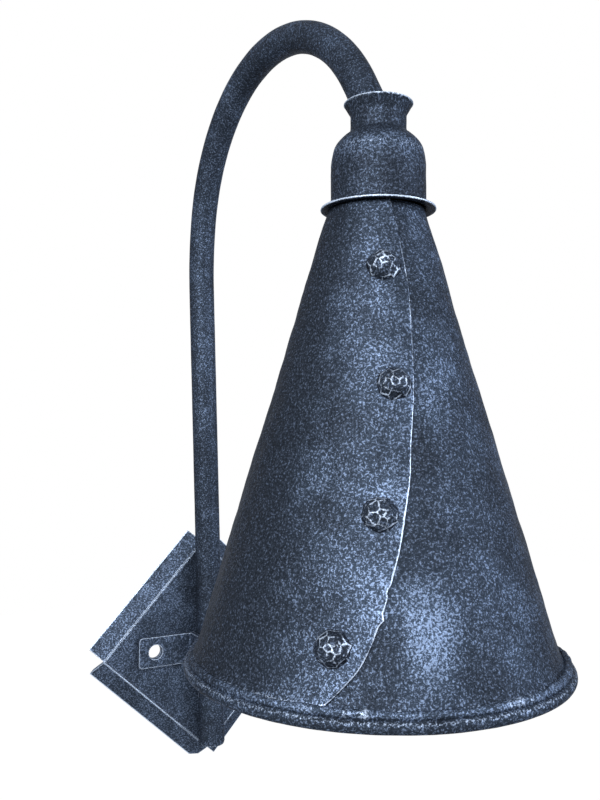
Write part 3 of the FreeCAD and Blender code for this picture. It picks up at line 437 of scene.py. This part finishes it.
# ---------------------------------------------------------------- turned pieces
def turned(name, profile, around=160, wear_and_sheen=None, rub=None, wobble=0.0, seed=3):
    """A closed (r, z) outline carried round the axis: x = r sin t, y = -r cos t. Wobble moves
    the wall in and out by a smooth random field."""
    profile = np.asarray(profile, float)
    t = np.linspace(0, 2 * np.pi, around, endpoint=False)
    r, z = profile[:, 0][:, None], profile[:, 1][:, None]
    points = np.stack([r * np.sin(t), -r * np.cos(t), z + 0 * t], -1)
    if wobble:
        field = waves(points, 14.0, seed) + 0.5 * waves(points, 5.0, seed + 1)
        points[..., 0] += field * wobble * np.sin(t)
        points[..., 1] -= field * wobble * np.cos(t)
    wear_and_sheen, rub = [None if v is None else np.broadcast_to(np.asarray(v, float)[:, None], points.shape[:2])
                 for v in (wear_and_sheen, rub)]
    return ring_mesh(name, hang(points), wear_and_sheen=wear_and_sheen, rub=rub)


def cup_profile():
    """Outline of the spun cup: lip, neck, shoulder, body and flange outside, then back inside."""
    lip = [(15.4, 19.1), (15.0, 18.6), (14.2, 17.2), (13.3, 15.7), (12.7, 14.7), (12.4, 13.8)]
    neck = [(12.4, 12.5), (12.4, 11.0), (12.35, 9.0), (12.4, 7.6), (12.75, 6.4), (13.6, 5.5)]
    z = np.linspace(5.0, -8.5, 22)
    r = smooth([-8.5, -6.3, -3.0, -0.9, 0.5, 1.9, 3.3, 4.7, 5.5],
               [21.0, 20.75, 20.15, 19.55, 18.8, 17.7, 16.35, 14.75, 13.6], z)
    shoulder = list(zip(r, z))
    body = [(21.0, zz) for zz in np.linspace(-11, -24.5, 8)]
    foot = [(21.15, -25.6), (21.7, -26.5), (22.6, -27.1), (23.8, -27.35), (25.0, -27.4), (25.4, -27.55)]
    rim = [(25.5, -27.9), (25.4, -28.25), (25.0, -28.4), (23.5, -28.4), (21.6, -28.2), (20.4, -27.2),
           (20.0, -25.6)]
    back = [(19.95, -20.0), (19.95, -12.0), (19.7, -6.0), (18.6, -1.0), (16.4, 1.8), (13.6, 4.1), (11.7, 6.0),
            (11.4, 9.0), (11.4, 13.9), (12.2, 15.6), (13.6, 18.0), (14.4, 19.1), (14.9, 19.35)]
    return np.array(lip + neck + shoulder + body + foot + rim + back)


def densify(profile, step=0.8):
    """Points along a closed outline, no more than `step` apart."""
    nxt = np.roll(profile, -1, axis=0)
    gaps = np.linalg.norm(nxt - profile, axis=1)
    counts = np.maximum(1, np.ceil(gaps / step)).astype(int)
    idx = np.repeat(np.arange(len(profile)), counts)
    t = np.concatenate([np.arange(c) / c for c in counts])
    return profile[idx] * (1 - t[:, None]) + nxt[idx] * t[:, None]


# ---------------------------------------------------------------- arm
def arm_line(count=420):
    """Centre line of the arm in the plane x = 0: stem, two bends, a straight, the last bend and
    the tail; each piece is walked by its own angle, direction measured from upright."""
    pieces = [("run", 61.5 + 230.0), ("bend", 178.5, 14.5), ("bend", 98.0, 134.5), ("run", 18.816415),
              ("bend", 22.0, 31.0), ("run", 5.0)]
    lengths = [q[1] if q[0] == "run" else q[1] * math.radians(q[2]) for q in pieces]
    total = sum(lengths)
    s = np.linspace(0, total, count)
    edges = np.concatenate([[0], np.cumsum(lengths)])
    angles = np.zeros(len(pieces) + 1)
    for i, q in enumerate(pieces):
        angles[i + 1] = angles[i] + (math.radians(q[2]) if q[0] == "bend" else 0.0)
    a = np.interp(s, edges, angles)
    fine = np.linspace(0, total, 6001)
    af = np.interp(fine, edges, angles)
    step = total / 6000
    y = np.concatenate([[0], np.cumsum(-np.sin((af[1:] + af[:-1]) / 2) * step)])
    z = np.concatenate([[0], np.cumsum(np.cos((af[1:] + af[:-1]) / 2) * step)])
    centre = np.stack([0 * s, np.interp(s, fine, y), np.interp(s, fine, z)], -1) + [0, ARM_Y, -61.5]
    side = np.stack([np.ones_like(s), 0 * s, 0 * s], -1)
    up = np.stack([0 * s, -np.cos(a), -np.sin(a)], -1)
    return s, centre, side, up


def arm_tube(p):
    """Rings of radius 8 carried along the centre line, moved in and out a little by hammering;
    the wall is 1.5 thick, and both ends are closed by the wall's own thickness."""
    s, centre, side, up = arm_line()
    t = np.linspace(0, 2 * np.pi, 72, endpoint=False)
    ring_way = side[:, None] * np.cos(t)[None, :, None] + up[:, None] * np.sin(t)[None, :, None]
    base = centre[:, None] + ring_way * 8.0
    field = (waves(base, 22.0, 31) + 0.6 * waves(base, 9.0, 32)) * 0.5
    radius = 8.0 - 0.10 + 0.14 * np.clip(field, -1, 1) * p.hammering
    ends = np.minimum(s, s[-1] - s)
    radius = radius - 0.5 * np.exp(-ends / 0.5)[:, None]
    outer = centre[:, None] + ring_way * radius[..., None]
    inner = centre[:, None] + ring_way * 6.5
    rings = np.concatenate([outer, inner[::-1]], 0)
    yaw = -math.radians(0.2)
    x, y = rings[..., 0].copy(), rings[..., 1] - ARM_Y
    rings[..., 0] = x * math.cos(yaw) - y * math.sin(yaw)
    rings[..., 1] = x * math.sin(yaw) + y * math.cos(yaw) + ARM_Y
    wear_and_sheen = 0.6 * np.exp(-ends / 0.9)[:, None] + 0 * radius
    # painted highlight: a silver band down one side of the tube, round t = 0.35, on top of random tone
    rub = 0.25 * waves(base, 40.0, 33) + 0.05 + 0.75 * np.exp(-((t[None, :] - 0.35) / 0.38) ** 2)
    return ring_mesh("arm_bar", rings, wear_and_sheen=np.concatenate([wear_and_sheen, 0 * wear_and_sheen]),
                     rub=np.concatenate([rub, rub]))


# ---------------------------------------------------------------- rim, bead, rivets
def rim_bar(p):
    """Round bar bent to a ring: radius RIM_BAR, its size and height moved a little by hammering."""
    t = np.linspace(0, 2 * np.pi, 520, endpoint=False)
    v = np.linspace(0, 2 * np.pi, 26, endpoint=False)
    t, v = np.meshgrid(t, v, indexing="ij")
    mid = np.stack([RIM_R * np.sin(t), -RIM_R * np.cos(t), RIM_Z + 0 * t], -1)
    field = waves(mid, 20.0, 41) * 0.6 + 0.4 * waves(mid, 7.0, 42)
    radius = RIM_BAR + 0.12 * field * p.hammering
    r = RIM_R + radius * np.cos(v)
    z = RIM_Z + radius * np.sin(v) + 0.15 * field
    # painted highlights: two lines along the bar's upper outer and lower outer sides, all the way round
    wear_and_sheen = np.exp(-((v - 0.7) / 0.5) ** 2) * 0.38 + np.exp(-((v - 5.6) / 0.5) ** 2) * 0.2
    return ring_mesh("rim_bar", hang(np.stack([r * np.sin(t), -r * np.cos(t), z], -1)), wear_and_sheen=wear_and_sheen)


def rim_bead():
    """Brazed bead in the corner between sheet and ring: an ellipse carried along the circle,
    whose size follows lumps every few millimetres."""
    t = np.linspace(0, 2 * np.pi, 900, endpoint=False)
    v = np.linspace(0, 2 * np.pi, 18, endpoint=False)
    t, v = np.meshgrid(t, v, indexing="ij")
    deg = np.degrees(t)
    line = np.stack([80 * np.sin(t), -80 * np.cos(t), 0 * t], -1)
    lumps = 0.55 * waves(line, 7.0, 51) + 0.45 * waves(line, 2.6, 52)
    swing = waves(line, 30.0, 53)
    grow = 1.0 + 0.13 * lumps + 0.10 * swing
    r = 79.75 + 1.75 * grow * np.cos(v)
    z = -221.5 + 2.0 * grow * np.sin(v) + 0.2 * swing
    # painted highlight: the bead is lighter and more silver on the front, round -20 degrees, and on its upper
    # outer side; the lumps and swing are its own unevenness
    near = ease((deg_from(deg, -20.0) - 75.0) / -40.0)
    upper_sheen = ease((np.cos(v - 0.7) + 0.2) / 0.9)
    wear_and_sheen = np.clip(0.20 + 0.34 * lumps + 0.30 * swing, 0, 1) * (0.35 + 0.65 * near) * upper_sheen
    return ring_mesh("rim_bead", hang(np.stack([r * np.sin(t), -r * np.cos(t), z], -1)), wear_and_sheen=wear_and_sheen,
                     rub=0.5 * near + 0 * wear_and_sheen)


def deg_from(deg, centre):
    """How many degrees round the circle lie between deg and centre, from 0 to 180."""
    return np.abs((deg - centre + 180.0) % 360.0 - 180.0)


def rivet_head(index, place, way):
    """Hammered head: a ball of radius 7.5 cut by flats. Along each direction the surface is the
    nearest of the ball and the planes, so r = min(R, d / cos(angle to the flat))."""
    rng = np.random.default_rng(70 + index)
    ball, low = 7.5, -2.7
    rows, cols = 56, 96
    tilt = np.linspace(0.0, math.acos((2.7 - 0.9) / 7.5) + 0.08, rows)
    spin = np.linspace(0, 2 * np.pi, cols, endpoint=False)
    a, b = np.meshgrid(tilt, spin, indexing="ij")
    way_out = np.stack([np.sin(a) * np.cos(b), np.sin(a) * np.sin(b), np.cos(a)], -1)
    flats = [(rng.uniform(0, 8), rng.uniform(0, 360))]
    flats += [(rng.uniform(21, 29), 72 * k + rng.uniform(-16, 16)) for k in range(5)]
    flats += [(rng.uniform(44, 52), 45 * k + rng.uniform(-12, 12)) for k in range(8)]
    flats += [(rng.uniform(64, 70), 40 * k + rng.uniform(-9, 9)) for k in range(9)]
    tilt_f, spin_f = np.radians(np.array(flats)).T
    ways = np.stack([np.sin(tilt_f) * np.cos(spin_f), np.sin(tilt_f) * np.sin(spin_f), np.cos(tilt_f)], -1)
    reach = ball * rng.uniform(0.925, 0.965, len(flats))
    near = reach / np.maximum(way_out @ ways.T, 0.2)
    two = np.sort(near, -1)
    r = np.minimum(ball, two[..., 0])
    gap = np.minimum(two[..., 1], ball + 0.25) - two[..., 0]
    bright = 0.62 + 0.3 * waves(way_out * ball, 6.0, 90 + index)
    wear_and_sheen = np.exp(-np.maximum(gap, 0) / 0.24) * bright
    wear_and_sheen[0] = 0.2
    points = way_out * r[..., None]
    points[..., 2] += low
    skirt = points[-1].copy()
    length = np.linalg.norm(skirt[:, :2], axis=1, keepdims=True)
    skirt[:, :2] *= 7.0 / length
    skirt[:, 2] = -0.3
    foot = skirt.copy()
    foot[:, 2] = -1.25
    rings = np.concatenate([points[1:], skirt[None], foot[None]], 0)
    wear_and_sheen = np.concatenate([wear_and_sheen[1:], np.full((2, cols), 0.15)], 0)
    z_axis = way / np.linalg.norm(way)
    x_axis = np.cross([0.0, 0.0, 1.0], z_axis)
    x_axis /= np.linalg.norm(x_axis)
    y_axis = np.cross(z_axis, x_axis)
    turn = np.stack([x_axis, y_axis, z_axis], 1)
    world = rings @ turn.T + place
    return closed_tube("rivet_head_%d" % (index + 1), hang(world), wear_and_sheen=wear_and_sheen, rub=0 * wear_and_sheen - 0.1)


def rivet_tail(index, place, way):
    """Flattened tail of the rivet on the inside of the lap: a low dome of elliptic section."""
    rise = np.linspace(0, np.pi / 2, 8)
    spin = np.linspace(0, 2 * np.pi, 40, endpoint=False)
    radius = np.concatenate([[4.0], 5.6 * np.cos(rise[:-1]), [0.6]])
    depth = np.concatenate([[-3.0], -3.35 - 1.5 * np.sin(rise[:-1]), [-4.85]])
    z_axis = way / np.linalg.norm(way)
    x_axis = np.cross([0.0, 0.0, 1.0], z_axis)
    x_axis /= np.linalg.norm(x_axis)
    y_axis = np.cross(z_axis, x_axis)
    circle = np.cos(spin)[:, None] * x_axis + np.sin(spin)[:, None] * y_axis
    rings = place + radius[:, None, None] * circle + depth[:, None, None] * z_axis
    return closed_tube("rivet_tail_%d" % (index + 1), hang(rings))


def foot_weld():
    """Three lumps of weld under the arm's foot, against the wall plate: balls whose radius
    follows a smooth random field."""
    tilt, spin = np.meshgrid(np.linspace(0.08, np.pi - 0.08, 22),
                             np.linspace(0, 2 * np.pi, 36, endpoint=False), indexing="ij")
    ball = np.stack([np.sin(tilt) * np.cos(spin), np.sin(tilt) * np.sin(spin), np.cos(tilt)], -1)
    spots = ((-4.6, -4.6, -61.4, 2.6), (-0.3, -4.4, -62.6, 2.4), (4.2, -4.7, -61.8, 2.7))
    lumps = []
    for k, (x, y, z, size) in enumerate(spots):
        radius = size + 0.25 * waves(ball * 3, 3.0, 60 + k)
        lumps.append(closed_tube("foot_weld_%d" % (k + 1), ball * radius[..., None] + [x, y, z]))
    return lumps


def rivet_spots():
    share = np.array([s for s, _ in RIVETS])
    inset = np.array([i for _, i in RIVETS])
    place, _, normal = meridian(share)
    theta = np.radians(smooth(LAP_EDGE[:, 0], LAP_EDGE[:, 1], share)) - inset / place[:, 0]
    spots = np.stack([place[:, 0] * np.sin(theta), -place[:, 0] * np.cos(theta), place[:, 1]], -1)
    ways = np.stack([normal[:, 0] * np.sin(theta), -normal[:, 0] * np.cos(theta), normal[:, 1]], -1)
    return spots, ways


# ---------------------------------------------------------------- plate and strap from the frame
def merged_copy(node, name):
    """A copy of a CAD node with its loose triangles joined and its flat faces dissolved."""
    source = frame["nodes"][node]
    mesh = source.data.copy()
    mesh.name = name
    bm = bmesh.new()
    bm.from_mesh(mesh)
    bmesh.ops.remove_doubles(bm, verts=bm.verts, dist=2e-6)
    bmesh.ops.dissolve_limit(bm, angle_limit=math.radians(1.0), verts=bm.verts, edges=bm.edges)
    bm.to_mesh(mesh)
    bm.free()
    obj = bpy.data.objects.new(name, mesh)
    bpy.context.collection.objects.link(obj)
    return obj


def bevelled(obj, width_mm, segments=2, angle=30):
    mod = obj.modifiers.new("edge", "BEVEL")
    mod.width = width_mm * MM
    mod.segments = segments
    mod.limit_method = "ANGLE"
    mod.angle_limit = math.radians(angle)
    mod.harden_normals = False
    for poly in obj.data.polygons:
        poly.use_smooth = False
    return obj


# ---------------------------------------------------------------- settings
def amount(name, description, default, **limits):
    return bpy.props.FloatProperty(name=name, description=description, default=default, **limits)


def colour(name, description, default):
    return bpy.props.FloatVectorProperty(name=name, description=description, default=default, size=3,
                                         subtype="COLOR", min=0, max=1)


class SconceShade(bpy.types.PropertyGroup):
    hammering: amount("Hammering", "How uneven the forged surfaces are", 0.55, min=0.0, max=2.0)
    edge_wander: amount("Edge wander", "How far the cut lap edge wanders, in mm", 0.25, min=0.0, max=2.0)


class SconceFinish(bpy.types.PropertyGroup):
    iron_dark: colour("Iron, dark", "Colour between the grains", (0.012, 0.015, 0.020))
    iron_blue: colour("Iron", "Colour of the blackened iron", (0.030, 0.037, 0.052))
    # the haze and silver colours are also what the painted highlights on the shade, arm, cup and bead are
    # lifted towards
    silver_haze_and_sheen: colour("Silver haze", "Thin rubbed silver", (0.10, 0.145, 0.225))
    silver: colour("Silver", "Silver on the grains", (0.32, 0.43, 0.66))
    # also the colour of the painted highlight lines on the rim bar, bead and cup shoulder
    edge_silver_and_sheen: colour("Edge silver", "Bare worn edges", (0.66, 0.78, 0.98))


class SconceStage(bpy.types.PropertyGroup):
    key: amount("Key", "Power of the main soft light", 18.5, unit="POWER")
    fill: amount("Fill", "Power of the light from the right", 8.0, unit="POWER")
    world: amount("World", "Strength of the light from all round", 0.10)


# ---------------------------------------------------------------- operators
class SCONCE_OT_shade(bpy.types.Operator):
    """Roll the lapped sheet of the shade"""
    bl_idname = "sconce.shade"
    bl_label = "Shade sheet"

    def execute(self, context):
        obj = shade_sheet(context.scene.sconce_shade)
        finish_piece(obj, iron_finish("iron_shade", 1.0), ("shade_cone",))
        return {"FINISHED"}


class SCONCE_OT_rivets(bpy.types.Operator):
    """Hammer the four rivet heads on the lap"""
    bl_idname = "sconce.rivets"
    bl_label = "Rivets"

    def execute(self, context):
        material = iron_finish("iron_rivets", 0.9, 2.0)
        for index, (place, way) in enumerate(zip(*rivet_spots())):
            obj = rivet_head(index, place, way)
            finish_piece(obj, material, () if index else ("lap_rivets",))
            finish_piece(rivet_tail(index, place, way), material)
        return {"FINISHED"}


class SCONCE_OT_rim(bpy.types.Operator):
    """Bend the ring under the skirt and lay its brazed bead"""
    bl_idname = "sconce.rim"
    bl_label = "Rim and bead"

    def execute(self, context):
        material = iron_finish("iron_rim", 1.15, 4.0)
        finish_piece(rim_bar(context.scene.sconce_shade), material, ("rim_ring",))
        finish_piece(rim_bead(), material)
        return {"FINISHED"}


class SCONCE_OT_cup(bpy.types.Operator):
    """Spin the cup with its lip, neck and flange"""
    bl_idname = "sconce.cup"
    bl_label = "Cup"

    def execute(self, context):
        profile = densify(cup_profile())
        r, z = profile[:, 0], profile[:, 1]
        # worn rims at the flange and the lip; the third term is a painted sheen on the lower shoulder
        wear_and_sheen = (0.9 * np.exp(-np.hypot(r - 25.5, z + 27.9) / 0.7)
                + 0.9 * np.exp(-np.hypot(r - 15.2, z - 19.1) / 0.6)
                + 0.35 * np.exp(-np.hypot(r - 20.0, z + 3.0) / 3.0))
        # painted sheen: more silver in a band round the lower shoulder
        rub = 0.5 * np.exp(-((z + 4.0) / 6.0) ** 2) + 0.05
        obj = turned("cup_spun", profile, wear_and_sheen=wear_and_sheen, rub=rub, wobble=0.06)
        finish_piece(obj, iron_finish("iron_cup", 0.6, 6.0), ("shade_cup",))
        return {"FINISHED"}


class SCONCE_OT_arm(bpy.types.Operator):
    """Bend the gooseneck arm"""
    bl_idname = "sconce.arm"
    bl_label = "Arm"

    def execute(self, context):
        arm = arm_tube(context.scene.sconce_shade)
        finish_piece(arm, iron_finish("iron_arm", 0.95, 8.0), ("arm_tube",))
        material = iron_finish("iron_weld", 1.1, 9.0)
        for lump in foot_weld():
            finish_piece(lump, material)
        return {"FINISHED"}


class SCONCE_OT_plate(bpy.types.Operator):
    """Fold the wall plate and bend its strap"""
    bl_idname = "sconce.plate"
    bl_label = "Plate and strap"

    def execute(self, context):
        for node, name, width in (("wall_plate", "plate_folded", 0.35), ("fixing_strap", "strap_bar", 0.5)):
            obj = bevelled(merged_copy(node, name), width)
            finish_piece(obj, iron_finish("iron_" + name, 0.85, 10.0 + width, 0.9, 0.35), (node,))
        return {"FINISHED"}


class SCONCE_OT_inner(bpy.types.Operator):
    """Give the lamp holder, bulb and fastenings their finishes"""
    bl_idname = "sconce.inner"
    bl_label = "Lamp holder and bulb"

    def execute(self, context):
        finishes = {
            "steel": plain_finish("zinc_steel", (0.55, 0.56, 0.58), 0.38, 0.9),
            "brass": plain_finish("holder_brass", (0.70, 0.50, 0.20), 0.34, 0.95),
            "porcelain": plain_finish("holder_porcelain", (0.86, 0.84, 0.79), 0.25, 0.0, 3.0, 0.06, 0.02),
            "grommet_rubber": plain_finish("grommet_rubber", (0.02, 0.02, 0.021), 0.7, 0.0, 1.0),
            "cap_aluminium": plain_finish("cap_aluminium", (0.72, 0.73, 0.75), 0.32, 0.95, 1.2),
            "black_insulation": plain_finish("cap_black_glass", (0.012, 0.012, 0.014), 0.16, 0.0, 2.0, 0.1,
                                             0.01),
            "clear_glass": glass_finish(),
            "tungsten": plain_finish("filament_wire", (0.20, 0.20, 0.21), 0.4, 0.9, 0.5),
        }
        done = {"wall_plate", "fixing_strap", "arm_tube", "shade_cup", "shade_cone", "lap_rivets",
                "rim_ring"}
        slots = {s["node"]: s["material_slot"] for s in frame["record"]["subparts"]}
        for node, obj in frame["nodes"].items():
            if node not in done:
                obj.data.materials.clear()
                obj.data.materials.append(finishes[slots[node]])
        return {"FINISHED"}


def set_camera():
    """The photograph's view, solved from its outlines: azimuth and elevation of the look
    direction, a small roll, and a lens of 831.7 pixels on a frame 800 pixels high."""
    az, el, roll = (math.radians(v) for v in (-30.4164, 0.3223, -1.3938))
    look = Vector((-math.sin(az) * math.cos(el), math.cos(az) * math.cos(el), math.sin(el)))
    right = look.cross(Vector((0, 0, 1))).normalized()
    up = right.cross(look)
    side = right * math.cos(roll) + up * math.sin(roll)
    top = up * math.cos(roll) - right * math.sin(roll)
    cam = bpy.data.objects.new("camera", bpy.data.cameras.new("camera"))
    bpy.context.collection.objects.link(cam)
    cam.matrix_world = Matrix((
        (side.x, top.x, -look.x, -0.219155), (side.y, top.y, -look.y, -0.505707),
        (side.z, top.z, -look.z, 0.155214), (0, 0, 0, 1)))
    cam.data.sensor_width = 36.0
    cam.data.lens = 831.705 * 36.0 / 800.0
    cam.data.clip_start, cam.data.clip_end = 0.01, 30.0
    bpy.context.scene.camera = cam


def area_light(name, place, target, size, power, colour=(1, 1, 1)):
    lamp = bpy.data.lights.new(name, "AREA")
    lamp.shape = "RECTANGLE"
    lamp.size, lamp.size_y = size
    lamp.energy = power
    lamp.color = colour
    obj = bpy.data.objects.new(name, lamp)
    bpy.context.collection.objects.link(obj)
    obj.location = place
    obj.rotation_euler = (Vector(target) - Vector(place)).to_track_quat("-Z", "Y").to_euler()
    return obj


class SCONCE_OT_stage(bpy.types.Operator):
    """Set the camera, the floor and backdrop and the soft studio light"""
    bl_idname = "sconce.stage"
    bl_label = "Stage"

    def execute(self, context):
        p = context.scene.sconce_stage
        context.scene.view_settings.view_transform = "Standard"
        set_camera()
        f = Finish("stage_white")
        f.tree.nodes.remove(f.shader)
        path = f.tree.nodes.new("ShaderNodeLightPath")
        seen = [Socket(f, path.outputs[name])
                for name in ("Is Camera Ray", "Is Glossy Ray", "Is Transmission Ray")]
        shown = seen[0].most(seen[1]).most(seen[2])
        plain = f.node("ShaderNodeBsdfDiffuse", {}, {"Color": (0.8, 0.8, 0.8)})
        white = f.node("ShaderNodeEmission", {}, {"Color": (1, 1, 1), "Strength": 1.05})
        both = f.node("ShaderNodeMixShader", {}, {0: shown * 0.96, 1: plain, 2: white})
        out = next(n for n in f.tree.nodes if n.type == "OUTPUT_MATERIAL")
        f.tree.links.new(both.socket, out.inputs[0])
        side, low = 4000, -900
        corners = [(-side, -side, low), (side, -side, low), (side, side, low), (-side, side, low)]
        floor = make_mesh("floor", corners, [(0, 1, 2, 3)])
        floor.data.materials.append(f.material)
        world = bpy.data.worlds.new("studio")
        context.scene.world = world
        world.use_nodes = True
        tree = world.node_tree
        tree.nodes.clear()
        out = tree.nodes.new("ShaderNodeOutputWorld")
        path = tree.nodes.new("ShaderNodeLightPath")
        white, light = [tree.nodes.new("ShaderNodeBackground") for _ in range(2)]
        white.inputs[0].default_value = (1, 1, 1, 1)
        light.inputs[0].default_value = (0.90, 0.95, 1.0, 1)
        light.inputs[1].default_value = p.world
        camera_or_glossy, seen = [tree.nodes.new("ShaderNodeMath") for _ in range(2)]
        camera_or_glossy.operation = seen.operation = "MAXIMUM"
        tree.links.new(path.outputs["Is Camera Ray"], camera_or_glossy.inputs[0])
        tree.links.new(path.outputs["Is Glossy Ray"], camera_or_glossy.inputs[1])
        tree.links.new(camera_or_glossy.outputs[0], seen.inputs[0])
        tree.links.new(path.outputs["Is Transmission Ray"], seen.inputs[1])
        mix = tree.nodes.new("ShaderNodeMixShader")
        tree.links.new(seen.outputs[0], mix.inputs[0])
        tree.links.new(light.outputs[0], mix.inputs[1])
        tree.links.new(white.outputs[0], mix.inputs[2])
        tree.links.new(mix.outputs[0], out.inputs[0])
        middle = (0.0, -0.16, 0.15)
        area_light("key", (-0.90, -1.02, 0.78), middle, (0.7, 0.7), p.key, (0.96, 0.98, 1.0))
        area_light("right", (0.86, -0.98, 0.40), middle, (0.35, 0.9), p.fill, (0.84, 0.90, 1.0))
        return {"FINISHED"}


class SCONCE_PT_panel(bpy.types.Panel):
    """Lists the pieces of the sconce in the order they are made"""
    bl_label = "Forged sconce"
    bl_idname = "SCONCE_PT_panel"
    bl_space_type = "VIEW_3D"
    bl_region_type = "UI"
    bl_category = "Sconce"

    def draw(self, context):
        scene = context.scene
        for operator in OPERATORS:
            self.layout.operator(operator.bl_idname)
        for group in (scene.sconce_shade, scene.sconce_finish, scene.sconce_stage):
            box = self.layout.box()
            for name in group.__annotations__:
                box.prop(group, name)


GROUPS = {"sconce_shade": SconceShade, "sconce_finish": SconceFinish, "sconce_stage": SconceStage}
OPERATORS = (SCONCE_OT_stage, SCONCE_OT_shade, SCONCE_OT_rivets, SCONCE_OT_rim, SCONCE_OT_cup, SCONCE_OT_arm,
             SCONCE_OT_plate, SCONCE_OT_inner)


def register():
    for cls in (*GROUPS.values(), *OPERATORS, SCONCE_PT_panel):
        bpy.utils.register_class(cls)
    for name, group in GROUPS.items():
        setattr(bpy.types.Scene, name, bpy.props.PointerProperty(type=group))


def unregister():
    for name in GROUPS:
        delattr(bpy.types.Scene, name)
    for cls in (SCONCE_PT_panel, *reversed(OPERATORS), *reversed(tuple(GROUPS.values()))):
        bpy.utils.unregister_class(cls)


def main():
    register()
    for operator in OPERATORS:
        family, action = operator.bl_idname.split(".")
        getattr(getattr(bpy.ops, family), action)()


if __name__ == "__main__":
    main()
